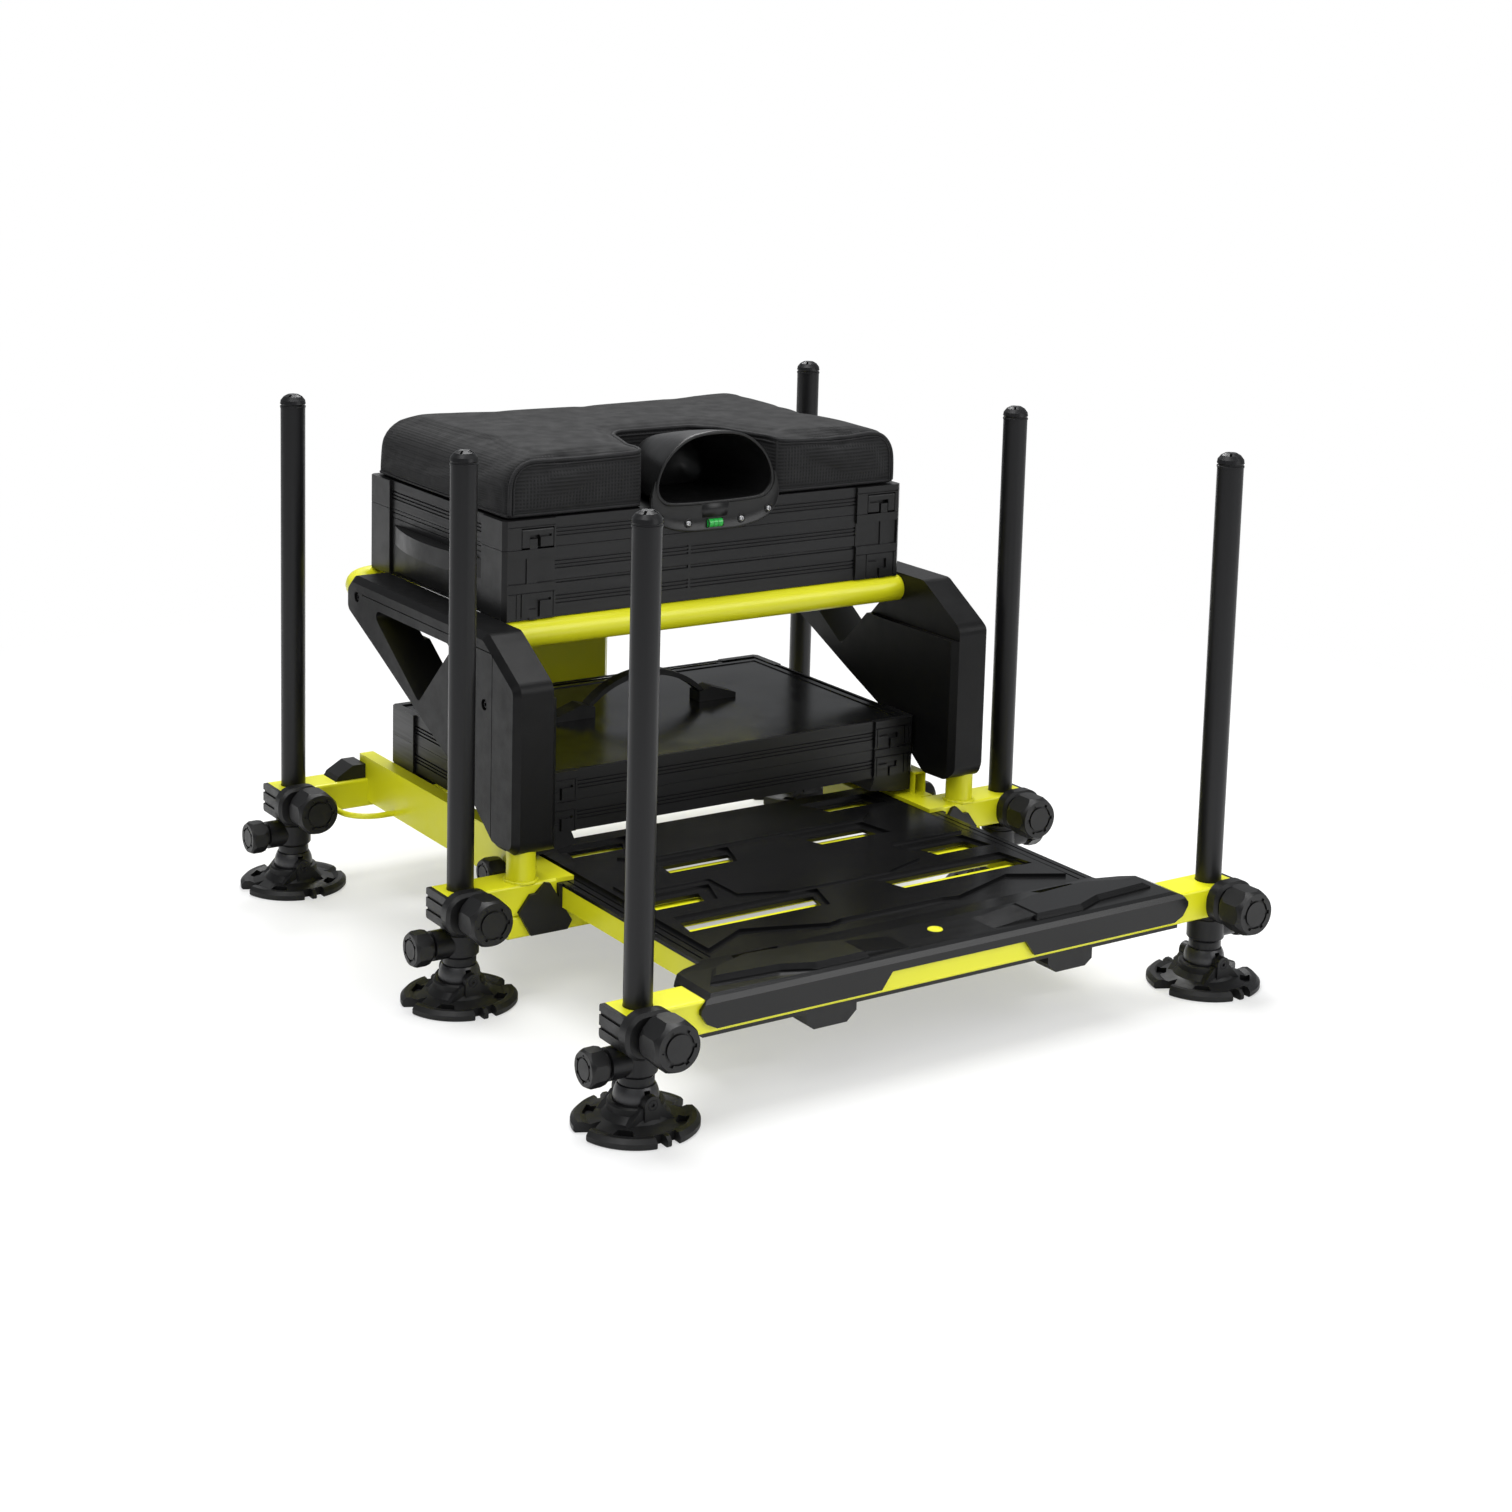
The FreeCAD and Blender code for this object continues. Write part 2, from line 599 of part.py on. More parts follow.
def side_rail():
    # Right rail: a tall box beside the cassette with an inner shelf over the footplate rail
    upper, upper_bore = box_tube_y(RAIL_FRONT + RAIL_FRONT_STEP, REAR_Y, RAIL_INNER_X, RAIL_OUTER_X,
                                   BEAM_TOP - RAIL_WALL, RAIL_TOP, RAIL_WALL)
    lower, lower_bore = box_tube_y(RAIL_FRONT, RAIL_REAR, RAIL_INNER_X, RAIL_OUTER_X,
                                   RAIL_BOTTOM, BEAM_TOP, RAIL_WALL)
    shelf = block(SHELF_INNER_X, RAIL_INNER_X, MID_Y - HALF_BEAM, RAIL_REAR, BEAM_TOP - SHELF_THICKNESS, BEAM_TOP)
    lock_hole = rod(STUD_R + STUD_FIT, V(RAIL_INNER_X - 1, LOCK_Y, LOCK_Z), V(RAIL_OUTER_X + 1, LOCK_Y, LOCK_Z))
    return [upper, lower, shelf], [upper_bore, lower_bore, lock_hole]


def strap_loop():
    # A bent rod in the corner behind the rail and in front of the rear beam
    z = RAIL_BOTTOM + LOOP_ROD_R + JOINT_GAP
    rear = V(RAIL_OUTER_X + LOOP_SPREAD, RAIL_REAR, z)
    inner = V(RAIL_OUTER_X, RAIL_REAR - LOOP_REACH, z)
    corner = V(rear.x, inner.y, z)
    turn = 0.72 * LOOP_SPREAD
    start = corner + V(0, turn, 0)
    end = corner - V(turn, 0, 0)
    centre = V(end.x, start.y, z)
    circle = Part.Face(Part.Wire(Part.makeCircle(LOOP_ROD_R, start, V(0, 1, 0))))
    bend = circle.revolve(centre, V(0, 0, -1), 90)
    return [rod(LOOP_ROD_R, rear, start), bend, rod(LOOP_ROD_R, end, inner)]


def main_frame():
    rear, rear_bore = box_tube_x(-BEAM_END, BEAM_END, REAR_Y - HALF_BEAM, REAR_Y + HALF_BEAM,
                                 BEAM_BOTTOM, BEAM_TOP, BEAM_WALL, BEAM_CORNER)
    lower, lower_bore = box_tube_x(-LOWER_BEAM_HALF, LOWER_BEAM_HALF, MID_Y - HALF_BEAM, MID_Y + HALF_BEAM,
                                   BEAM_BOTTOM - LOWER_BEAM_HEIGHT, BEAM_BOTTOM, BEAM_WALL, BEAM_CORNER)
    solids = [rear, lower]
    bores = [rear_bore, lower_bore]
    for side in (-1, 1):
        arm, arm_bore = box_tube_x(side * RAIL_INNER_X, side * BEAM_END, MID_Y - HALF_BEAM, MID_Y + HALF_BEAM,
                                   BEAM_BOTTOM, BEAM_TOP, BEAM_WALL, BEAM_CORNER)
        solids.append(arm)
        bores.append(arm_bore.cut(block(-RAIL_INNER_X - BEAM_WALL, RAIL_INNER_X + BEAM_WALL, MID_Y - HALF_BEAM,
                                        MID_Y + HALF_BEAM, BEAM_BOTTOM, BEAM_TOP)))
    rail_solids, rail_bores = side_rail()
    for shape in rail_solids + strap_loop():
        solids.extend(both_sides(shape))
    for shape in rail_bores:
        bores.extend(both_sides(shape))
    return fused(solids).cut(bores + leg_holes(MID_Y, BEAM_TOP) + leg_holes(REAR_Y, BEAM_TOP))


# Upper frame

def bent_tube(points, bend_radius, radius):
    # Straight runs joined by tangent arcs, as one solid bar
    pieces = []
    start = points[0]
    for index in range(1, len(points) - 1):
        corner = points[index]
        back = points[index - 1] - corner
        ahead = points[index + 1] - corner
        half = back.getAngle(ahead) / 2
        run = bend_radius / math.tan(half)
        back.normalize()
        ahead.normalize()
        entry = corner + back * run
        leave = corner + ahead * run
        bisector = back + ahead
        bisector.normalize()
        centre = corner + bisector * (bend_radius / math.sin(half))
        axis = (entry - centre).cross(leave - centre)
        pieces.append(rod(radius, start, entry))
        circle = Part.Face(Part.Wire(Part.makeCircle(radius, entry, back)))
        pieces.append(circle.revolve(centre, axis, 180 - math.degrees(2 * half)))
        start = leave
    pieces.append(rod(radius, start, points[-1]))
    return fused(pieces)


def side_tube_points(side):
    # Up from the beam, over the covers' bend, back and round to the middle of the rear run
    x = side * UPRIGHT_X
    return [V(x, UPRIGHT_Y, BEAM_TOP), V(x, UPRIGHT_Y, UPRIGHT_BEND_Z), V(x, UPRIGHT_Y + BEND_RUN, TUBE_Z),
            V(x, REAR_TUBE_Y, TUBE_Z), V(0, REAR_TUBE_Y, TUBE_Z)]


def upper_frame():
    inner_r = TUBE_R - TUBE_WALL
    solids = []
    bores = []
    for side in (-1, 1):
        solids.append(bent_tube(side_tube_points(side), BEND_R, TUBE_R))
        bores.append(bent_tube(side_tube_points(side), BEND_R, inner_r))
    bar_start = V(-UPRIGHT_X, CROSSBAR_Y, TUBE_Z)
    bar_end = V(UPRIGHT_X, CROSSBAR_Y, TUBE_Z)
    solids.append(rod(CROSSBAR_R, bar_start, bar_end))
    bores.append(rod(CROSSBAR_R - TUBE_WALL, bar_start, bar_end))
    half = COLUMN_WIDTH / 2
    y0 = REAR_TUBE_Y - COLUMN_DEPTH / 2
    y1 = REAR_TUBE_Y + COLUMN_DEPTH / 2
    cut = COLUMN_CHAMFER
    section = [(-half + cut, y0), (half - cut, y0), (half, y0 + cut), (half, y1 - cut),
               (half - cut, y1), (-half + cut, y1), (-half, y1 - cut), (-half, y0 + cut)]
    solids.append(prism_z(section, BEAM_TOP, TUBE_Z))
    wall = TUBE_WALL + 1.0
    bores.append(block(-half + cut, half - cut, y0 + wall, y1 - wall, BEAM_TOP, TUBE_Z - TUBE_R - wall))
    return fused(solids).cut(bores)


# Side covers

def cover_outline():
    front = UPRIGHT_Y - COVER_FRONT_REACH
    rear = COVER_REAR_Y
    top = TUBE_Z + TUBE_R + COVER_TOP_RISE
    low = COVER_BOTTOM
    reach = rear - front
    return [(front, low + 1), (front + 0.125 * reach, low), (front + 0.30 * reach, low + 47),
            (front + 0.50 * reach, low + 79), (front + 0.78 * reach, low + 126), (rear - 5, top - 41),
            (rear, top - 34), (rear, top - 12), (rear - 12, top),
            (front + COVER_SLOPE_RUN, top), (front, COVER_SLOPE_Z)]


def window_outline():
    # The side tube shows along the top of the window
    top = TUBE_Z - TUBE_R + WINDOW_LIFT
    front = CROSSBAR_Y + TUBE_R + SEAT_GAP
    rear = COVER_REAR_Y - 58
    return [(front, top), (front + 0.4 * (rear - front), top - WINDOW_DEPTH), (rear, top)]


def side_cover():
    # Right cover: a moulded shell round the bent tube, with a triangular window
    inner_x = UPRIGHT_X - COVER_INNER_REACH
    outer_x = UPRIGHT_X + COVER_OUTER_REACH
    body = prism_x(cover_outline(), inner_x, outer_x, COVER_CORNER)
    rim = [edge for edge in body.Edges
           if edge.BoundBox.XMin > outer_x - 0.01 and edge.BoundBox.XMax < outer_x + 0.01]
    body = body.makeChamfer(COVER_CHAMFER, rim)
    front = UPRIGHT_Y - COVER_FRONT_REACH
    bevel = COVER_INNER_BEVEL
    edge_cut = [(inner_x - 1, front - 1), (inner_x + bevel, front - 1), (inner_x - 1, front + bevel)]
    cuts = [prism_z(edge_cut, COVER_BOTTOM - 1, COVER_SLOPE_Z + 60)]
    cuts.append(prism_x(window_outline(), inner_x - 1, outer_x + 1, WINDOW_CORNER))
    cuts.append(bent_tube(side_tube_points(1), BEND_R, TUBE_R + SEAT_GAP))
    cuts.append(rod(TUBE_R + SEAT_GAP, V(0, CROSSBAR_Y, TUBE_Z), V(UPRIGHT_X, CROSSBAR_Y, TUBE_Z)))
    arm_z = TUBE_Z - TUBE_R - 22
    cuts.append(block(inner_x - 1, STACK_HALF + COVER_ARM_GAP, front - 1, REAR_TUBE_Y, arm_z, STACK_BOTTOM + 20))
    for y, z in ((UPRIGHT_Y + 42, COVER_SLOPE_Z - 28), (COVER_REAR_Y - 27, TUBE_Z - 3)):
        cuts.append(rod(SCREW_RECESS_R, V(outer_x - SCREW_RECESS_DEPTH, y, z), V(outer_x + 1, y, z)))
    # Seam between the arm shell and the front shell
    seam_x = outer_x - COVER_SEAM
    seam_y = front + 46
    cuts.append(block(seam_x, outer_x + 1, seam_y, COVER_REAR_Y - 40, TUBE_Z + 1, TUBE_Z + 1 + COVER_SEAM))
    cuts.append(block(seam_x, outer_x + 1, seam_y, seam_y + COVER_SEAM, COVER_BOTTOM, TUBE_Z + 1 + COVER_SEAM))
    return fused([body]).cut(cuts)


# Trim and guides on the main frame

def corner_block():
    # Wedge on the rear beam, outside the rail
    x0 = RAIL_OUTER_X + SEAT_GAP
    x1 = x0 + CORNER_BLOCK_LENGTH
    z = BEAM_TOP
    points = [(x0, z), (x1, z), (x1 - 3, z + 5), (x0 + 14, z + CORNER_BLOCK_RISE), (x0, z + CORNER_BLOCK_RISE)]
    return prism_y(points, REAR_Y - 15, REAR_Y + 15)


def frame_end_caps():
    fittings = end_fittings(MID_Y, BEAM_TOP) + end_fittings(REAR_Y, BEAM_TOP)
    return fittings + both_sides(corner_block())


def slide_guide():
    # Right guide: an angular plate on the front of the arm and a bearing block beside the footplate rail
    front = MID_Y - HALF_BEAM
    rear = MID_Y + HALF_BEAM
    rail_x = FOOT_RAIL_OUTER_X + SEAT_GAP
    low = BEAM_BOTTOM - LOWER_BEAM_HEIGHT
    plate = prism_y([
        (rail_x - 11, low + 10), (rail_x - 6, low + 2), (rail_x + 33, low + 2), (rail_x + 46, BEAM_BOTTOM + 4),
        (rail_x + 34, BEAM_TOP - 10), (rail_x + 28, BEAM_TOP - 10), (rail_x + 18, BEAM_TOP - 1),
        (rail_x + 13, BEAM_TOP - 2)], front - 4, front)
    bearing = block(rail_x, RAIL_INNER_X - SEAT_GAP, front - 4, rear - BEAM_WALL,
                    BEAM_BOTTOM + SEAT_GAP, BEAM_TOP - SHELF_THICKNESS - SEAT_GAP)
    sole = block(FOOT_RAIL_OUTER_X - FOOT_RAIL_WIDTH, rail_x, front - 4, rear - BEAM_WALL,
                 BEAM_BOTTOM + SEAT_GAP, FOOT_RAIL_BOTTOM - SEAT_GAP)
    passage = block(0, rail_x, front - 5, rear, FOOT_RAIL_BOTTOM - SEAT_GAP, BEAM_TOP + 5)
    return fused([plate, bearing, sole]).cut(passage)


def skid_strip():
    return block(SHELF_INNER_X + 1, CASSETTE_HALF - 1, CASSETTE_FRONT + 30, RAIL_REAR - 22,
                 BEAM_TOP, SKID_TOP)


# Ribbed bands and corner blocks shared by the stacked units

def band_grooves(height, bands):
    # Heights and half widths of the grooves: three in the middle of each band, one wider where bands meet
    marks = []
    step = height / bands
    for index in range(bands):
        middle = step * (index + 0.5)
        for shift in (-BAND_GROOVE_PITCH, 0, BAND_GROOVE_PITCH):
            marks.append((middle + shift, BAND_GROOVE_HALF))
        if index:
            marks.append((step * index, BAND_JOINT_HALF))
    return sorted(marks, reverse=True)


def band_section(height, bands):
    # Section of a ribbed wall: depth 0 is the outer face, heights from 0
    points = [(BAND_WALL, 0), (BAND_WALL, height), (0, height)]
    for middle, half in band_grooves(height, bands):
        points.extend([(0, middle + half), (BAND_GROOVE, middle + half / 2),
                       (BAND_GROOVE, middle - half / 2), (0, middle - half)])
    points.append((0, 0))
    return points


def unit_shell(half, front, rear, bottom, height, bands, open_left=False):
    # Four ribbed walls set in from the corner blocks
    x = half - BAND_INSET
    y0 = front + BAND_INSET
    y1 = rear - BAND_INSET
    section = band_section(height, bands)
    walls = [prism_x([(y0 + d, bottom + z) for d, z in section], -x, x),
             prism_x([(y1 - d, bottom + z) for d, z in section], -x, x),
             prism_y([(x - d, bottom + z) for d, z in section], y0, y1)]
    if not open_left:
        walls.append(prism_y([(-x + d, bottom + z) for d, z in section], y0, y1))
    return walls


def corner_outer(width, depth, half, front, bottom, height):
    # L-shaped right front corner block
    wall = CORNER_WALL
    x1 = half
    x0 = half - width
    y0 = front
    y1 = front + depth
    return prism_z([(x0, y0), (x1 - 4, y0), (x1, y0 + 4), (x1, y1), (x1 - wall, y1),
                    (x1 - wall, y0 + wall), (x0, y0 + wall)], bottom, bottom + height)


def corner_set(width, depth, half, front, rear, bottom, height):
    # Four corner blocks that close the ends of the ribbed walls
    right = corner_outer(width, depth, half, front, bottom, height)
    middle = (front + rear) / 2
    back = right.mirror(V(0, middle, 0), V(0, 1, 0))
    return both_sides(right) + both_sides(back)


# Stacking clips on the front corner blocks

def clip_x(half, width, side, shift=0.0):
    # Middle of the clip; the right one may sit further out
    return side * (half - width + CLIP_FROM_INNER_END + (shift if side > 0 else 0))


def clip_cuts(half, width, side, face, bottom, height, shift=0.0):
    # Grooves round a fixed clip plate with its J slot and the tongue that rises into it
    centre = clip_x(half, width, side, shift)
    plate = LATCH_WIDTH / 2
    line = height - 8.5
    slot = height - 14.0
    inner = width - half + abs(centre) + 1
    outer = half - abs(centre) - 5

    def pocket(u0, u1, v0, v1, depth):
        return block(centre + side * u0, centre + side * u1, face - 1, face + depth, bottom + v0, bottom + v1)

    return [pocket(-inner, outer, line, line + 1.2, CLIP_LINE),
            pocket(plate, plate + 1.2, 2.2, line + 0.1, CLIP_LINE),
            pocket(plate + 5.5, plate + 6.3, 2.2, line + 0.1, CLIP_LINE / 2),
            pocket(-plate, -plate - 0.9, 2.2, line + 0.1, CLIP_LINE / 2),
            pocket(2 - plate, TONGUE_WIDTH, slot - CLIP_SLOT, slot, CLIP_DEPTH),
            pocket(-3, 0, 2.1, slot - CLIP_SLOT + 0.1, CLIP_DEPTH),
            pocket(-0.1, TONGUE_WIDTH, TONGUE_RISE, slot - CLIP_SLOT + 0.1, CLIP_DEPTH),
            pocket(-inner, 0, -0.1, 2.2, CLIP_LINE),
            pocket(TONGUE_WIDTH, outer, -0.1, 2.2, CLIP_LINE)]


# Deep unit and side drawer

def deep_unit_body():
    x = STACK_HALF - BAND_INSET
    y0 = STACK_FRONT + BAND_INSET
    y1 = STACK_REAR - BAND_INSET
    walls = unit_shell(STACK_HALF, STACK_FRONT, STACK_REAR, STACK_BOTTOM, DEEP_HEIGHT, 2, open_left=True)
    floor = block(-x, x, y0, y1, STACK_BOTTOM, STACK_BOTTOM + PANEL)
    divider_x = -x + DRAWER_LENGTH + DRAWER_GAP
    divider = block(divider_x, divider_x + PANEL, y0, y1, STACK_BOTTOM, SEAM_Z)
    lintel = block(-x, divider_x, STACK_FRONT + CORNER_DEPTH, STACK_REAR - CORNER_DEPTH, SEAM_Z - PANEL, SEAM_Z)
    corners = corner_set(CORNER_WIDTH, CORNER_DEPTH, STACK_HALF, STACK_FRONT, STACK_REAR, STACK_BOTTOM, DEEP_HEIGHT)
    return fused(walls + [floor, divider, lintel]).cut(corners)


def drawer_span():
    return STACK_FRONT + CORNER_DEPTH + DRAWER_GAP, STACK_REAR - CORNER_DEPTH - DRAWER_GAP


def drawer_grip(face, middle, low):
    # Bowed bar along the drawer, hollow underneath for the fingers
    def bow(half, depth, z0, z1):
        arc = Part.Arc(V(face, middle - half, z0), V(face - depth, middle, z0), V(face, middle + half, z0)).toShape()
        chord = Part.LineSegment(V(face, middle + half, z0), V(face, middle - half, z0)).toShape()
        return Part.Face(Part.Wire([arc, chord])).extrude(V(0, 0, z1 - z0))

    half = GRIP_LENGTH / 2
    outer = bow(half, GRIP_BOW, low, low + GRIP_HEIGHT)
    inner = bow(half - 3 * GRIP_SKIN, GRIP_BOW - GRIP_SKIN, low - 1, low + GRIP_HEIGHT - GRIP_SKIN)
    return outer.cut(inner)


def side_drawer():
    face = -STACK_HALF + BAND_INSET
    y0, y1 = drawer_span()
    z0 = STACK_BOTTOM + PANEL + SEAT_GAP
    z1 = SEAM_Z - PANEL - DRAWER_GAP
    tray = block(face, face + DRAWER_LENGTH, y0, y1, z0, z1)
    inside = block(face + DRAWER_FRONT, face + DRAWER_LENGTH - DRAWER_WALL, y0 + DRAWER_WALL, y1 - DRAWER_WALL,
                   z0 + DRAWER_WALL, z1 + 1)
    front_line = block(face - 1, face + 1, y0 - 1, y1 + 1, z1 - 5.5, z1 - 4.3)
    grip = drawer_grip(face, (y0 + y1) / 2, SEAM_Z - GRIP_DROP - GRIP_HEIGHT)
    return fused([tray.cut([inside, front_line]), grip])


def latch_recess(side):
    # Pocket in the front of a seat corner block for a latch plate, open at the bottom
    x = clip_x(STACK_HALF, CORNER_WIDTH, side, CLIP_SHIFT)
    half = LATCH_WIDTH / 2 + 0.8
    depth = STACK_FRONT + LATCH_THICKNESS + JOINT_GAP
    return block(x - half, x + half, STACK_FRONT - 1, depth, SEAT_BOTTOM - 1,
                 LATCH_PIVOT_Z + LATCH_THICKNESS / 2 + JOINT_GAP)


def tongue(side):
    # Fixed tongue on the deep unit that stands in a latch plate's slot
    x = clip_x(STACK_HALF, CORNER_WIDTH, side, CLIP_SHIFT)
    return block(x, x + side * TONGUE_WIDTH, STACK_FRONT + 0.6, STACK_FRONT + LATCH_THICKNESS - 0.5,
                 SEAM_Z - 4, SEAM_Z + TONGUE_RISE)


def knuckle(side, start):
    x0 = side * (STACK_HALF - CORNER_WIDTH + start)
    x1 = x0 + side * KNUCKLE_WIDTH
    barrel = rod(HINGE_R, V(x0, HINGE_Y, HINGE_Z), V(x1, HINGE_Y, HINGE_Z))
    return barrel, min(x0, x1), max(x0, x1)


def hinge_leaf(side, start, upward):
    # A knuckle with the web that ties it to its corner block
    barrel, x0, x1 = knuckle(side, start)
    clear = JOINT_GAP / 2
    if upward:
        web = block(x0, x1, STACK_REAR - 2, HINGE_Y, HINGE_Z + clear, HINGE_Z + HINGE_R)
    else:
        web = block(x0, x1, STACK_REAR - 2, HINGE_Y, HINGE_Z - HINGE_R, HINGE_Z - clear)
    return fused([barrel, web])


def hinge_room(side, start):
    barrel, x0, x1 = knuckle(side, start)
    grown = HINGE_R + JOINT_GAP
    return rod(grown, V(x0 - JOINT_GAP, HINGE_Y, HINGE_Z), V(x1 + JOINT_GAP, HINGE_Y, HINGE_Z))


def upper_panel_cuts(side):
    # Sunk panels beside a middle rib, between the two clips of the deep unit
    x = clip_x(STACK_HALF, CORNER_WIDTH, side, CLIP_SHIFT)
    inner = CORNER_WIDTH - STACK_HALF + abs(x) + 1
    outer = STACK_HALF - abs(x) - 5
    low = STACK_BOTTOM + DEEP_HEIGHT / 2 + 1.0
    high = SEAM_Z - 8.5
    spans = ((-inner, 0, 2.2), (-0.1, TONGUE_WIDTH + 3, 0.9), (TONGUE_WIDTH + 2.9, outer, 2.2))
    return [block(x + side * u0, x + side * u1, STACK_FRONT - 1, STACK_FRONT + depth, low, high)
            for u0, u1, depth in spans]


def deep_unit_corners():
    blocks = corner_set(CORNER_WIDTH, CORNER_DEPTH, STACK_HALF, STACK_FRONT, STACK_REAR, STACK_BOTTOM, DEEP_HEIGHT)
    finished = []
    for shape in blocks:
        centre = shape.BoundBox.Center
        side = 1 if centre.x > 0 else -1
        if centre.y < (STACK_FRONT + STACK_REAR) / 2:
            half_height = DEEP_HEIGHT / 2
            cuts = clip_cuts(STACK_HALF, CORNER_WIDTH, side, STACK_FRONT, STACK_BOTTOM, half_height, CLIP_SHIFT)
            shape = fused([shape.cut(cuts + upper_panel_cuts(side)), tongue(side)])
        else:
            leaf = hinge_leaf(side, 4, False)
            pin = rod(HINGE_PIN_R, V(side * (STACK_HALF - CORNER_WIDTH + 5), HINGE_Y, HINGE_Z),
                      V(side * (STACK_HALF - CORNER_WIDTH + 4 + 2 * KNUCKLE_WIDTH), HINGE_Y, HINGE_Z))
            shape = fused([shape.cut(hinge_room(side, 5 + KNUCKLE_WIDTH)), leaf, pin])
        finished.append(shape)
    return finished


# Seat unit

def seat_frame():
    x = STACK_HALF - BAND_INSET
    y0 = STACK_FRONT + BAND_INSET
    y1 = STACK_REAR - BAND_INSET
    walls = unit_shell(STACK_HALF, STACK_FRONT, STACK_REAR, SEAT_BOTTOM, SEAT_FRAME_HEIGHT, 1)
    top = block(-x, x, y0, y1, SEAT_TOP - PANEL, SEAT_TOP)
    corners = corner_set(CORNER_WIDTH, CORNER_DEPTH, STACK_HALF, STACK_FRONT, STACK_REAR,
                         SEAT_BOTTOM, SEAT_FRAME_HEIGHT)
    return fused(walls + [top]).cut(corners)


def seat_corners():
    blocks = corner_set(CORNER_WIDTH, CORNER_DEPTH, STACK_HALF, STACK_FRONT, STACK_REAR,
                        SEAT_BOTTOM, SEAT_FRAME_HEIGHT)
    finished = []
    for shape in blocks:
        centre = shape.BoundBox.Center
        side = 1 if centre.x > 0 else -1
        x = clip_x(STACK_HALF, CORNER_WIDTH, side, CLIP_SHIFT)
        if centre.y < (STACK_FRONT + STACK_REAR) / 2:
            half = LATCH_WIDTH / 2 + 1.5
            pin_y = STACK_FRONT + LATCH_THICKNESS / 2
            pin = rod(LATCH_PIN_R, V(x - half, pin_y, LATCH_PIVOT_Z), V(x + half, pin_y, LATCH_PIVOT_Z))
            line = block(side * (STACK_HALF - CORNER_WIDTH - 1), side * (STACK_HALF - 5), STACK_FRONT - 1,
                         STACK_FRONT + CLIP_LINE, SEAT_TOP - 7.0, SEAT_TOP - 5.8)
            shape = fused([shape.cut([latch_recess(side), line]), pin])
        else:
            leaf = hinge_leaf(side, 5 + KNUCKLE_WIDTH, True)
            bore = rod(HINGE_PIN_R + SLIDE_FIT, V(side * (STACK_HALF - CORNER_WIDTH), HINGE_Y, HINGE_Z),
                       V(side * STACK_HALF, HINGE_Y, HINGE_Z))
            shape = fused([shape.cut(hinge_room(side, 4)), leaf]).cut(bore)
        finished.append(shape)
    return finished


def latch_plate(side):
    # Plate hinged at its top edge, with an open slot round the tongue and a J-shaped groove
    x = clip_x(STACK_HALF, CORNER_WIDTH, side, CLIP_SHIFT)
    half = LATCH_WIDTH / 2
    y0 = STACK_FRONT
    y1 = STACK_FRONT + LATCH_THICKNESS
    pin_y = (y0 + y1) / 2
    low = SEAT_BOTTOM + 1.5
    slot = SEAT_BOTTOM + SEAT_FRAME_HEIGHT - 15.0
    plate = block(x - half, x + half, y0, y1, low, LATCH_PIVOT_Z)
    barrel = rod(LATCH_THICKNESS / 2, V(x - half, pin_y, LATCH_PIVOT_Z), V(x + half, pin_y, LATCH_PIVOT_Z))
    window = block(x - side * 3, x + side * (TONGUE_WIDTH + JOINT_GAP), y0 - 1, y1 + 1, low - 1, slot)
    groove = block(x - side * (half - 2), x, y0 - 1, y0 + CLIP_DEPTH, slot - CLIP_SLOT, slot)
    bore = rod(LATCH_PIN_R + SLIDE_FIT, V(x - half - 1, pin_y, LATCH_PIVOT_Z), V(x + half + 1, pin_y, LATCH_PIVOT_Z))
    return fused([plate, barrel]).cut([window, groove, bore])


def seat_cushion():
    # Closed form with rolled sides, a seamed front edge and the front channel for the pole cup
    base = SEAT_TOP + SEAT_GAP
    top = base + CUSHION_HEIGHT
    x = STACK_HALF - CUSHION_INSET
    y0 = STACK_FRONT + CUSHION_INSET
    y1 = STACK_REAR - CUSHION_INSET
    roll = CUSHION_EDGE
    inside = roll * (1 - math.sqrt(0.5))
    corners = [V(-x, y0, top - roll), V(-x, y0, base), V(x, y0, base), V(x, y0, top - roll)]
    edges = [Part.LineSegment(start, end).toShape() for start, end in zip(corners, corners[1:])]
    edges.append(Part.Arc(corners[3], V(x - inside, y0, top - inside), V(x - roll, y0, top)).toShape())
    edges.append(Part.LineSegment(V(x - roll, y0, top), V(-x + roll, y0, top)).toShape())
    edges.append(Part.Arc(V(-x + roll, y0, top), V(-x + inside, y0, top - inside), corners[0]).toShape())
    body = Part.Face(Part.Wire(edges)).extrude(V(0, y1 - y0, 0))
    rim = [edge for edge in body.Edges if edge.BoundBox.YLength < 0.01 and edge.BoundBox.ZMax > base + 1]
    body = body.makeFillet(CUSHION_SEAM_R, rim)
    back = y0 + CHANNEL_BACK
    half = CHANNEL_HALF
    channel = [(-half, y0 - 40), (half, y0 - 40), (half, y0 + 30), (half - 26, back), (-half + 26, back),
               (-half, y0 + 30)]
    return body.cut(prism_z(channel, base - 1, top + 1, CHANNEL_CORNER))


def cup_section(half, rise, base):
    # Arched outline: widest below the middle, flat at the top and the bottom
    right = [(0.66 * half, base), (0.9 * half, base + 0.12 * rise), (half, base + 0.42 * rise),
             (0.86 * half, base + 0.76 * rise), (0.38 * half, base + rise)]
    return right + [(-x, z) for x, z in reversed(right)]


def cup_wire(half, rise, base, y, radius):
    corners = [V(x, y, z) for x, z in cup_section(half, rise, base)]
    return rounded_outline(corners, radius).OuterWire


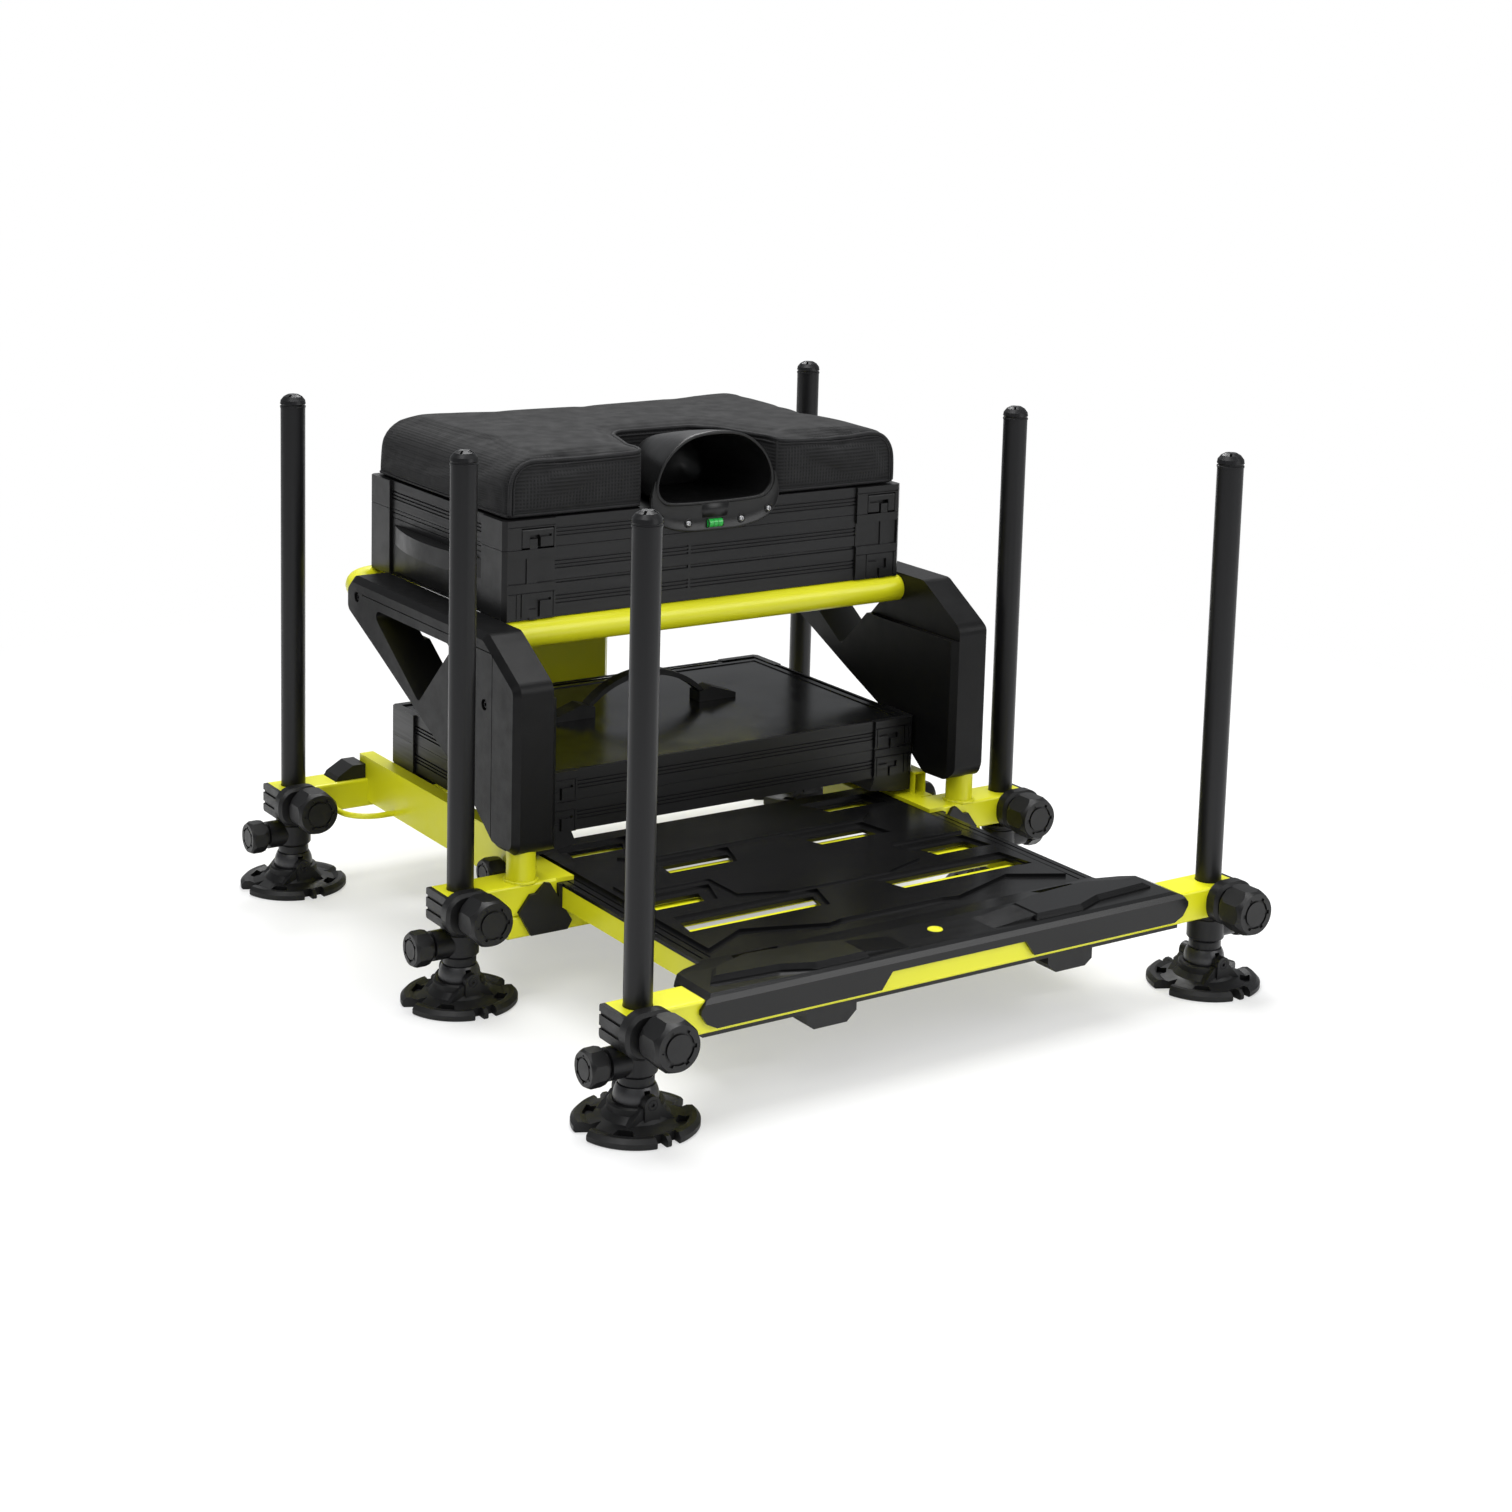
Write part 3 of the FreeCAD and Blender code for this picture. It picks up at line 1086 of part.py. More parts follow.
def pole_cup():
    base = SEAT_TOP + SEAT_GAP
    front = STACK_FRONT - CUP_PROUD
    back = STACK_FRONT + CUP_DEPTH
    outer = Part.makeLoft([cup_wire(CUP_HALF, CUP_RISE, base, front, 16),
                           cup_wire(0.62 * CUP_HALF, 0.74 * CUP_RISE, base, back, 10)], True, True)
    wall = CUP_WALL
    inner = Part.makeLoft([
        cup_wire(CUP_HALF - wall, CUP_RISE - 2 * wall, base + wall, front - 0.5, 14),
        cup_wire(0.62 * CUP_HALF - wall, 0.74 * CUP_RISE - 2 * wall, base + wall, back - wall, 8)], True, True)
    low = base - CUP_FLANGE_DROP
    face = STACK_FRONT + BAND_INSET - SEAT_GAP
    wide = CUP_HALF + CUP_FLANGE_OUT
    right = [(27, low), (0.5 * wide, low + 2), (0.87 * wide, low + 9), (wide, base - 8), (wide, base - 2),
             (0.93 * wide, base + 8)]
    flange = prism_y(right + [(-x, z) for x, z in reversed(right)], front, face)
    tab = block(-14, 14, front - 1.2, front + 2, base - 13.5, base + 2)
    screws = [rod(3.2, V(x, front - 1, base + z), V(x, front + 3, base + z))
              for x, z in ((-64, -11), (-31.5, -18.5), (31.5, -18.5), (64, -11))]
    vial_z = low + VIAL_R + 3
    vial_room = block(-VIAL_LENGTH / 2 - 0.6, VIAL_LENGTH / 2 + 0.6, front - 1, front + VIAL_POCKET,
                      vial_z - VIAL_R - 0.6, vial_z + VIAL_R + 0.6)
    return fused([outer.cut(inner), flange.cut(inner), tab.cut(inner)]).cut(screws + [vial_room])


def level_vial():
    front = STACK_FRONT - CUP_PROUD
    vial_z = SEAT_TOP + SEAT_GAP - CUP_FLANGE_DROP + VIAL_R + 3
    y = front + VIAL_POCKET - VIAL_R - 0.1
    tube = rod(VIAL_R, V(-VIAL_LENGTH / 2, y, vial_z), V(VIAL_LENGTH / 2, y, vial_z))
    return tube


# Cassette

def tray(bottom):
    half = CASSETTE_HALF
    x = half - BAND_INSET
    y0 = CASSETTE_FRONT + BAND_INSET
    y1 = CASSETTE_REAR - BAND_INSET
    walls = unit_shell(half, CASSETTE_FRONT, CASSETTE_REAR, bottom, TRAY_HEIGHT, 1)
    floor = block(-x, x, y0, y1, bottom, bottom + TRAY_FLOOR)
    corners = corner_set(TRAY_CORNER, TRAY_CORNER, half, CASSETTE_FRONT, CASSETTE_REAR, bottom, TRAY_HEIGHT)
    return [fused(walls + [floor]).cut(corners)], corners


def tray_latch_detail(shape, bottom):
    # Relief of the stacking clip on a front corner block
    centre = shape.BoundBox.Center
    if centre.y > (CASSETTE_FRONT + CASSETTE_REAR) / 2:
        return shape
    side = 1 if centre.x > 0 else -1
    return shape.cut(clip_cuts(CASSETTE_HALF, TRAY_CORNER, side, CASSETTE_FRONT, bottom, TRAY_HEIGHT))


def cassette_foot():
    # Right front foot, low at the skid and sloping up inwards
    x1 = CASSETTE_HALF - 1
    low = SKID_TOP + SEAT_GAP
    points = [(x1, CASSETTE_BOTTOM), (x1, low), (SHELF_INNER_X, low), (FOOT_INNER_X, low + FOOT_SLOPE),
              (FOOT_INNER_X + 6, CASSETTE_BOTTOM)]
    return prism_y(points, CASSETTE_FRONT + 4, CASSETTE_FRONT + TRAY_CORNER - 4)


def cassette_lower_tray():
    shell, corners = tray(CASSETTE_BOTTOM)
    corners = [tray_latch_detail(shape, CASSETTE_BOTTOM) for shape in corners]
    middle = (CASSETTE_FRONT + CASSETTE_REAR) / 2
    feet = []
    for foot in both_sides(cassette_foot()):
        feet.extend([foot, foot.mirror(V(0, middle, 0), V(0, 1, 0))])
    return shell + corners + feet


def cassette_upper_tray():
    bottom = CASSETTE_BOTTOM + TRAY_HEIGHT + SEAT_GAP
    shell, corners = tray(bottom)
    corners = [tray_latch_detail(shape, bottom) for shape in corners]
    return [fused(shell + lid_supports())] + corners


def lid_bottom():
    return CASSETTE_TOP - LID_THICKNESS - 1.0


def lid_axis_z():
    return lid_bottom() + LID_THICKNESS / 2


def lid_supports():
    # Front ledge under the lid and the lugs that hold its hinge pins
    z = lid_bottom()
    ledge = block(-LID_BARREL_HALF, LID_BARREL_HALF, CASSETTE_FRONT + BAND_INSET, CASSETTE_FRONT + LID_INSET + 5,
                  z - 3, z - SEAT_GAP)
    lugs = []
    for side in (-1, 1):
        x0 = side * (LID_BARREL_HALF + JOINT_GAP)
        x1 = x0 + side * LID_LUG
        lug = block(x0, x1, LID_HINGE_Y - 3.5, CASSETTE_REAR - BAND_INSET - 1, z - 3, z + LID_THICKNESS)
        bore = rod(LID_PIN_R + SLIDE_FIT, V(x0, LID_HINGE_Y, lid_axis_z()), V(x1, LID_HINGE_Y, lid_axis_z()))
        lugs.append(lug.cut(bore))
    return [ledge] + lugs


def cassette_lid():
    x = CASSETTE_HALF - LID_INSET
    y0 = CASSETTE_FRONT + LID_INSET
    y1 = LID_HINGE_Y - 5
    z = lid_bottom()
    board = block(-x, x, y0, y1, z, z + LID_THICKNESS)
    rim = block(-x + 6, x - 6, y0 + 6, y1 - 6, z + LID_THICKNESS - 1, z + LID_THICKNESS + 1)
    web = block(-LID_BARREL_HALF, LID_BARREL_HALF, y1 - 1, LID_HINGE_Y, z + 0.5, z + LID_THICKNESS - 0.5)
    axis_z = lid_axis_z()
    barrel = rod(LID_BARREL_R, V(-LID_BARREL_HALF, LID_HINGE_Y, axis_z), V(LID_BARREL_HALF, LID_HINGE_Y, axis_z))
    reach = LID_BARREL_HALF + JOINT_GAP + LID_LUG - 1
    pins = rod(LID_PIN_R, V(-reach, LID_HINGE_Y, axis_z), V(reach, LID_HINGE_Y, axis_z))
    return fused([board.cut(rim), web, barrel, pins])


def handle_mount():
    # Right mount: a wedge block with a raised lug for the strap
    z = lid_bottom() + LID_THICKNESS - 1.0
    x0 = HANDLE_SPAN / 2 - 22
    x1 = x0 + HANDLE_MOUNT_LENGTH
    y = handle_y()
    half = HANDLE_WIDTH / 2 + 3
    points = [(x0, z), (x1, z), (x1, z + 5), (x0 + 16, z + HANDLE_MOUNT_HEIGHT), (x0, z + HANDLE_MOUNT_HEIGHT - 4)]
    return prism_y(points, y - half, y + half)


def handle_y():
    return CASSETTE_FRONT + 0.57 * (CASSETTE_REAR - CASSETTE_FRONT)


def handle_strap():
    # Arched strap between the mounts
    z = lid_bottom() + LID_THICKNESS - 1.0 + HANDLE_MOUNT_HEIGHT - 6
    y = handle_y() - HANDLE_WIDTH / 2
    half = HANDLE_SPAN / 2 - 12
    rise = HANDLE_RISE - HANDLE_MOUNT_HEIGHT + 6
    outer = Part.Arc(V(-half, y, z), V(0, y, z + rise), V(half, y, z)).toShape()
    inner = Part.Arc(V(half - 6, y, z), V(0, y, z + rise - HANDLE_STRAP), V(-half + 6, y, z)).toShape()
    ends = [Part.LineSegment(V(half, y, z), V(half - 6, y, z)).toShape(),
            Part.LineSegment(V(-half + 6, y, z), V(-half, y, z)).toShape()]
    face = Part.Face(Part.Wire([outer, ends[0], inner, ends[1]]))
    return face.extrude(V(0, HANDLE_WIDTH, 0))


def cassette_handle():
    strap = handle_strap()
    mounts = [mount.cut(strap) for mount in both_sides(handle_mount())]
    return [strap] + mounts


# Footplate

def footplate_frame():
    beam, beam_bore = box_tube_x(-BEAM_END, BEAM_END, FRONT_Y - HALF_BEAM, FRONT_Y + HALF_BEAM,
                                 FOOT_BEAM_BOTTOM, FOOT_BEAM_TOP, BEAM_WALL, BEAM_CORNER)
    solids = [beam]
    bores = [beam_bore]
    rear = FRONT_Y + FOOT_RAIL_REACH
    inner_x = FOOT_RAIL_OUTER_X - FOOT_RAIL_WIDTH
    rail, rail_bore = box_tube_y(FRONT_Y + HALF_BEAM, rear, inner_x, FOOT_RAIL_OUTER_X,
                                 FOOT_RAIL_BOTTOM, FOOT_RAIL_BOTTOM + FOOT_RAIL_HEIGHT, FOOT_RAIL_WALL)
    solids.extend(both_sides(rail))
    bores.extend(both_sides(rail_bore))
    low = FOOT_RAIL_BOTTOM + (FOOT_RAIL_HEIGHT - CROSS_HEIGHT) / 2
    for place in CROSS_POSITIONS:
        y = FRONT_Y + place
        cross, cross_bore = box_tube_x(-inner_x, inner_x, y - CROSS_WIDTH / 2, y + CROSS_WIDTH / 2,
                                       low, low + CROSS_HEIGHT, FOOT_RAIL_WALL, FOOT_RAIL_WALL)
        solids.append(cross)
        bores.append(cross_bore)
    return fused(solids).cut(bores + leg_holes(FRONT_Y, FOOT_BEAM_TOP))


def deck_lanes():
    # Recessed lanes of the deck, right half, as (x0, x1, y0, y1) from the front leg row
    return ((30, 196, 114, 156), (112, 197, 178, 216), (36, 134, 260, 300), (104, 192, 344, 378))


def deck_slots():
    return ((42, 192, 123, 146), (130, 188, 186, 206), (44, 122, 268, 287), (116, 180, 352, 368),
            (144, 196, 45, 54))


def lane_prism(x0, x1, y0, y1, z0, z1, slant):
    y0 += FRONT_Y
    y1 += FRONT_Y
    return prism_z([(x0 + slant, y0), (x1, y0), (x1 - slant / 2, y1), (x0, y1)], z0, z1)


def deck_tiers():
    # Outlines of the raised fields on the right half, from the front leg row, with their heights
    lower = [(0, 78), (58, 78), (74, 74), (153, 101), (DECK_PLATEAU_HALF, 73), (DECK_PLATEAU_HALF, DECK_REACH - 30),
             (DECK_PLATEAU_HALF - 24, DECK_REACH - 8), (0, DECK_REACH - 8)]
    middle = [(0, 158), (58, 160), (106, 176), (106, 224), (196, 224), (196, 250), (0, 250)]
    rear = [(0, 306), (132, 304), (150, 320), (96, 340), (0, 340)]
    return ((lower, DECK_RIB), (middle, DECK_RIB + DECK_STEP), (rear, DECK_RIB + DECK_STEP))


def deck_plate():
    y0 = FRONT_Y + HALF_BEAM + JOINT_GAP
    y1 = FRONT_Y + DECK_REACH
    x = FOOT_RAIL_OUTER_X
    plate = block(-x, x, y0, y1, DECK_BOTTOM, DECK_TOP)
    fields = []
    for points, rise in deck_tiers():
        field = prism_z([(px, FRONT_Y + py) for px, py in points], DECK_TOP - 0.5, DECK_TOP + rise)
        fields.extend(both_sides(field))
    lanes = []
    for lane in deck_lanes():
        lanes.extend(both_sides(lane_prism(*lane, DECK_TOP, DECK_TOP + DECK_RIB + DECK_STEP + 1, 14)))
    grooves = []
    for side in (-1, 1):
        for edge in (DECK_PLATEAU_HALF + 5, DECK_PLATEAU_HALF + 13):
            grooves.append(block(side * edge, side * (edge + 2), y0 + 40, y1 + 1, DECK_TOP - 1.0, DECK_TOP + 1))
    slots = []
    for slot in deck_slots():
        slots.extend(both_sides(lane_prism(*slot, DECK_BOTTOM - 1, DECK_TOP + 20, 6)))
    return plate, fused(fields).cut(lanes), slots + grooves


def lip_section(low, top):
    # Side section of the front moulding: over the beam, down its face and back to the deck
    front = LIP_FRONT_Y
    seat = FOOT_BEAM_TOP + SEAT_GAP
    back = FRONT_Y + LIP_BACK
    face = FRONT_Y - HALF_BEAM - SEAT_GAP
    step = FRONT_Y + HALF_BEAM + JOINT_GAP
    return [(front, low), (face, low), (face, seat), (step, seat), (step, DECK_BOTTOM), (back, DECK_BOTTOM),
            (back, DECK_TOP), (FRONT_Y + 34, top), (front + 8, top), (front + 3, top - 1.5), (front, top - 6)]


def lip_face(low, top):
    # Front outline of the moulding, right half, with the middle cut up to bare the beam
    middle = FOOT_BEAM_TOP - LIP_CENTRE_DROP
    return [(0, middle), (75, middle), (86, low), (257, low), (267, low + 5), (LIP_HALF, low + 14),
            (LIP_HALF, low + 18), (LIP_HALF - 6, top - 3), (LIP_HALF - 14, top), (0, top)]


def lip_crest(top, crest):
    # Raised field on the wing and the slope that falls from it to the middle
    plan = [(94, -15), (150, -15), (180, -3), (248, 2), (231, 26), (192, 40), (124, 34), (94, 24)]
    field = prism_z([(x, FRONT_Y + y) for x, y in plan], top - 1, crest)
    rim = [edge for edge in field.Edges if edge.BoundBox.ZMin > crest - 0.01]
    field = field.makeChamfer(LIP_CREST_BEVEL, rim)
    slope = prism_y([(36, top - 1), (96, top - 1), (96, crest - 1)], FRONT_Y - 11, FRONT_Y + 20)
    return [field, slope]


def front_lip():
    low = FOOT_BEAM_TOP - LIP_SKIRT
    top = FOOT_BEAM_TOP + LIP_TOP_RISE
    crest = FOOT_BEAM_TOP + LIP_CREST_RISE
    y0 = LIP_FRONT_Y
    back = FRONT_Y + LIP_BACK
    body = prism_x(lip_section(low, top), 0, LIP_HALF)
    face = prism_y(lip_face(low, top), y0 - 1, back + 1)
    plan = prism_z([(0, y0 - 1), (LIP_HALF, y0 - 1), (LIP_HALF, FRONT_Y + 22), (LIP_HALF - 14, FRONT_Y + 37),
                    (LIP_HALF - 25, FRONT_Y + 45), (FOOT_RAIL_OUTER_X, FRONT_Y + 54), (FOOT_RAIL_OUTER_X, back + 1),
                    (0, back + 1)], low - 5, crest + 5)
    right = fused([body.common(face).common(plan)] + lip_crest(top, crest))
    return both_sides(right)


def footplate_deck():
    plate, plateau, cuts = deck_plate()
    lip = front_lip()
    disc_y = FRONT_Y + DISC_Y
    disc_low = FOOT_BEAM_TOP + LIP_TOP_RISE - 1.2
    disc_room = rod(DISC_R, V(0, disc_y, disc_low), V(0, disc_y, disc_low + 9))
    return fused([plate, plateau] + lip).cut(cuts + [disc_room])


def footplate_rests():
    # Strip under the front beam with two rest blocks
    top = FOOT_BEAM_BOTTOM
    low = top - REST_STRIP
    front = FRONT_Y - HALF_BEAM + REST_FRONT_SETBACK
    strip = block(-LIP_HALF + 6, LIP_HALF - 6, front, FRONT_Y + HALF_BEAM - 6, low, top)
    x0 = REST_BLOCK_X
    x1 = x0 + REST_BLOCK_LENGTH
    foot = prism_y([(x0, low), (x1, low), (x1, low - REST_BLOCK_DROP + 6), (x1 - 8, low - REST_BLOCK_DROP),
                    (x0 + 10, low - REST_BLOCK_DROP), (x0, low - REST_BLOCK_DROP + 9)], front, FRONT_Y + 10)
    return fused([strip] + both_sides(foot))


def footplate_fittings():
    return end_fittings(FRONT_Y, FOOT_BEAM_TOP)


def lock_knob():
    # Right lock knob with its stud through the rail
    stud_length = RAIL_OUTER_X + 1.0 - FOOT_RAIL_OUTER_X - STUD_FIT
    knob = grip_knob(LOCK_KNOB_R, LOCK_KNOB_DEPTH, CLAMP_NECK, stud_length)
    knob = spun(knob, V(0, 1, 0), 90)
    return moved(knob, RAIL_OUTER_X + 1.0, LOCK_Y, LOCK_Z)


def save_all():
    save_legs()
    cover = side_cover()
    save("main_frame", [main_frame()])
    save("upper_frame", [upper_frame()])
    save("side_cover_right", [cover])
    save("side_cover_left", [mirrored(cover)])
    save("frame_end_caps", frame_end_caps())
    save("slide_guides", both_sides(slide_guide()) + both_sides(skid_strip()))
    save("deep_unit_body", [deep_unit_body()])
    save("deep_unit_corners", deep_unit_corners())
    save("side_drawer", [side_drawer()])
    save("seat_frame", [seat_frame()])
    save("seat_corners", seat_corners())
    save("seat_latches", [latch_plate(-1), latch_plate(1)])
    save("seat_cushion", [seat_cushion()])
    save("pole_cup", [pole_cup()])
    save("level_vial", [level_vial()])
    save("cassette_lower_tray", cassette_lower_tray())
    save("cassette_upper_tray", cassette_upper_tray())
    save("cassette_lid", [cassette_lid()])
    save("cassette_handle", cassette_handle())
    save("footplate_frame", [footplate_frame()])
    save("footplate_deck", [footplate_deck()])
    save("footplate_rests", [footplate_rests()])
    save("footplate_end_caps", footplate_fittings())
    save("footplate_lock_knobs", both_sides(lock_knob()))


os.makedirs("parts", exist_ok=True)
save_all()
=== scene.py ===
import math

import bmesh
import bpy
from mathutils import Matrix, Vector
from mathutils.bvhtree import BVHTree


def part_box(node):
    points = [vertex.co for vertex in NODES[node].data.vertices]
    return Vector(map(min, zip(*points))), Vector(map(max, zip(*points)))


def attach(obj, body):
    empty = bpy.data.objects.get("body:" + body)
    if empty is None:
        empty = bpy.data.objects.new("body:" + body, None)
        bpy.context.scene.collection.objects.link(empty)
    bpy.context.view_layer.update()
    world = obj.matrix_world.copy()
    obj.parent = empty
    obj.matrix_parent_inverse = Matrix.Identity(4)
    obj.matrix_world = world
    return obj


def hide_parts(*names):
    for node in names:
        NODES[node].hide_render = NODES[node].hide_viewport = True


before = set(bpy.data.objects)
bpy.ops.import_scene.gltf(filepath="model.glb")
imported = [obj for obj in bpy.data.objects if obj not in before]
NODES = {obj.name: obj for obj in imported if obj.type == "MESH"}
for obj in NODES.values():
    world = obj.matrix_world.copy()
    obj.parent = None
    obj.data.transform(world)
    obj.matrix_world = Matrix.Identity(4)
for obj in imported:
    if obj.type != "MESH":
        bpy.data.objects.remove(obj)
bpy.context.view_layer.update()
scene = bpy.context.scene
LEGS = [row + "_" + side for row in ("front", "mid", "rear") for side in ("left", "right")]


# Materials

class Shader:
    """A material with small helpers for its node tree."""

    def __init__(self, name, color, roughness, metallic=0.0):
        self.material = bpy.data.materials.new(name)
        self.material.use_nodes = True
        self.tree = self.material.node_tree
        self.surface = self.tree.nodes["Principled BSDF"]
        self.surface.inputs["Base Color"].default_value = (*color, 1)
        self.surface.inputs["Roughness"].default_value = roughness
        self.surface.inputs["Metallic"].default_value = metallic
        self.color = color
        self.coords = self.tree.nodes.new("ShaderNodeTexCoord").outputs["Object"]
        self.heights = []

    def node(self, kind, **values):
        made = self.tree.nodes.new(kind)
        for key, value in values.items():
            setattr(made, key, value)
        return made

    def link(self, start, end):
        self.tree.links.new(start, end)

    def mapped(self, scale):
        mapping = self.node("ShaderNodeMapping")
        mapping.inputs["Scale"].default_value = scale
        self.link(self.coords, mapping.inputs["Vector"])
        return mapping.outputs["Vector"]

    def noise(self, scale, detail=3.0, stretch=(1, 1, 1), roughness=0.55):
        texture = self.node("ShaderNodeTexNoise")
        texture.inputs["Scale"].default_value = scale
        texture.inputs["Detail"].default_value = detail
        texture.inputs["Roughness"].default_value = roughness
        self.link(self.mapped(stretch), texture.inputs["Vector"])
        return texture.outputs["Fac"]

    def cells(self, scale, stretch=(1, 1, 1)):
        texture = self.node("ShaderNodeTexVoronoi")
        texture.inputs["Scale"].default_value = scale
        self.link(self.mapped(stretch), texture.inputs["Vector"])
        return texture.outputs["Distance"]

    def ranged(self, value, low, high, to_low, to_high):
        mapped = self.node("ShaderNodeMapRange")
        self.link(value, mapped.inputs["Value"])
        limits = {"From Min": low, "From Max": high, "To Min": to_low, "To Max": to_high}
        for name, number in limits.items():
            mapped.inputs[name].default_value = number
        return mapped.outputs["Result"]

    def math(self, operation, first, second=None):
        made = self.node("ShaderNodeMath", operation=operation)
        for socket, value in zip(made.inputs, (first, second)):
            if value is None:
                continue
            if isinstance(value, (int, float)):
                socket.default_value = value
            else:
                self.link(value, socket)
        return made.outputs[0]

    def tint(self, value, darker, lighter):
        # Base colour varies between two shades with the value
        mix = self.node("ShaderNodeMix", data_type="RGBA")
        for socket, factor in (("A", darker), ("B", lighter)):
            shade = [min(channel * factor, 1) for channel in self.color]
            mix.inputs[socket].default_value = (*shade, 1)
        self.link(value, mix.inputs["Factor"])
        self.link(mix.outputs["Result"], self.surface.inputs["Base Color"])

    def rough(self, value):
        self.link(value, self.surface.inputs["Roughness"])

    def bump(self, value, strength, distance):
        # Each bump is laid over the ones before it
        made = self.node("ShaderNodeBump")
        made.inputs["Strength"].default_value = strength
        made.inputs["Distance"].default_value = distance
        self.link(value, made.inputs["Height"])
        if self.heights:
            self.link(self.heights[-1], made.inputs["Normal"])
        self.heights.append(made.outputs["Normal"])
        self.link(made.outputs["Normal"], self.surface.inputs["Normal"])

    def set(self, name, value):
        self.surface.inputs[name].default_value = value

    def dim(self, level):
        # Weaker reflection than clear plastic has
        self.set("Specular IOR Level", level)


def lime_paint():
    paint = Shader("lime_powder_coat", (0.76, 0.75, 0.010), 0.36)
    paint.tint(paint.noise(9, 4), 0.93, 1.05)
    paint.rough(paint.ranged(paint.noise(55, 5), 0.3, 0.7, 0.30, 0.44))
    paint.bump(paint.noise(900, 2), 0.10, 0.0004)
    paint.bump(paint.noise(120, 2), 0.05, 0.0008)
    paint.set("Coat Weight", 0.15)
    paint.set("Coat Roughness", 0.25)
    return paint.material


def leg_finish():
    tube = Shader("black_anodised_tube", (0.010, 0.010, 0.0108), 0.38, 0.3)
    tube.tint(tube.noise(30, 3, (1, 1, 0.05)), 0.8, 1.35)
    tube.rough(tube.ranged(tube.noise(600, 4, (1, 1, 0.015)), 0.3, 0.7, 0.30, 0.46))
    tube.bump(tube.noise(900, 3, (1, 1, 0.02)), 0.06, 0.0002)
    tube.dim(0.35)
    return tube.material


def moulded(name, shade, low, high, grain=700, level=0.35):
    """Moulded plastic with roughness from low to high and a fine cell grain."""
    plastic = Shader(name, (shade, shade, shade * 1.04), 0.5)
    plastic.tint(plastic.noise(18, 4), 0.82, 1.25)
    plastic.rough(plastic.ranged(plastic.noise(70, 5), 0.3, 0.7, low, high))
    plastic.bump(plastic.cells(grain), 0.10, 0.0003)
    plastic.bump(plastic.noise(40, 3), 0.03, 0.0012)
    plastic.dim(level)
    return plastic.material


def deck_finish():
    deck = Shader("glossy_deck_plastic", (0.005, 0.005, 0.0052), 0.3)
    deck.tint(deck.noise(14, 4), 0.8, 1.4)
    scratches = deck.noise(140, 6, (0.12, 1.4, 1), 0.7)
    deck.rough(deck.ranged(scratches, 0.35, 0.7, 0.20, 0.27))
    deck.bump(deck.cells(900), 0.012, 0.0002)
    deck.dim(0.30)
    return deck.material


def band_finish():
    band = Shader("black_ribbed_extrusion", (0.008, 0.008, 0.0085), 0.4, 0.2)
    band.tint(band.noise(22, 4), 0.8, 1.3)
    band.rough(band.ranged(band.noise(420, 4, (0.03, 0.03, 1)), 0.3, 0.7, 0.28, 0.44))
    band.bump(band.noise(800, 3, (0.03, 0.03, 1)), 0.08, 0.0002)
    band.dim(0.4)
    return band.material


def board_finish():
    board = Shader("glossy_lid_board", (0.006, 0.006, 0.0062), 0.16)
    board.tint(board.noise(8, 3), 0.85, 1.2)
    board.rough(board.ranged(board.noise(30, 6), 0.35, 0.7, 0.15, 0.25))
    board.dim(0.4)
    board.bump(board.noise(12, 3), 0.05, 0.0015)
    return board.material


def woven(name, shade, pitch, depth):
    """Cloth of crossed threads, with their pitch and depth in metres."""
    cloth = Shader(name, (shade, shade, shade * 1.05), 0.85)
    across, along, rise = (cloth.node("ShaderNodeTexWave", wave_type="BANDS", bands_direction=axis)
                           for axis in "XYZ")
    for wave in (across, along, rise):
        wave.inputs["Scale"].default_value = math.pi / (10 * pitch)
        wave.inputs["Distortion"].default_value = 0.35
        wave.inputs["Detail"].default_value = 1.0
        cloth.link(cloth.coords, wave.inputs["Vector"])
    crossed = cloth.math("MULTIPLY", across.outputs["Fac"], along.outputs["Fac"])
    threads = cloth.math("MAXIMUM", crossed, cloth.math("MULTIPLY", rise.outputs["Fac"], 0.7))
    cloth.tint(threads, 0.55, 1.7)
    cloth.rough(cloth.ranged(cloth.noise(60, 4), 0.3, 0.7, 0.78, 0.95))
    cloth.bump(threads, 0.5, depth)
    cloth.bump(cloth.noise(35, 4), 0.12, 0.002)
    cloth.dim(0.28)
    cloth.set("Sheen Weight", 0.03)
    cloth.set("Sheen Roughness", 0.5)
    return cloth.material


def bright_steel():
    steel = Shader("bright_steel", (0.55, 0.55, 0.56), 0.3, 1.0)
    steel.tint(steel.noise(200, 4), 0.8, 1.1)
    steel.rough(steel.ranged(steel.noise(900, 3), 0.3, 0.7, 0.22, 0.42))
    return steel.material


def blackened_steel():
    steel = Shader("blackened_steel", (0.02, 0.02, 0.021), 0.35, 0.8)
    steel.tint(steel.noise(200, 4), 0.8, 1.2)
    steel.rough(steel.ranged(steel.noise(700, 3), 0.3, 0.7, 0.28, 0.45))
    return steel.material


def alloy():
    metal = Shader("plain_inner_alloy", (0.05, 0.05, 0.052), 0.4, 0.5)
    metal.tint(metal.noise(40, 3, (1, 1, 0.1)), 0.85, 1.15)
    metal.rough(metal.ranged(metal.noise(500, 3, (1, 1, 0.02)), 0.3, 0.7, 0.3, 0.45))
    return metal.material


def vial_with_painted_glow():
    vial = Shader("green_vial_painted_glow", (0.02, 0.42, 0.06), 0.12)
    vial.tint(vial.noise(300, 2), 0.8, 1.2)
    vial.rough(vial.ranged(vial.noise(100, 2), 0.3, 0.7, 0.08, 0.16))
    vial.set("Transmission Weight", 0.25)
    # The faint green emission is a painted glow; the vial gives no real light
    vial.set("Emission Color", (0.02, 0.5, 0.07, 1))
    vial.set("Emission Strength", 0.12)
    return vial.material


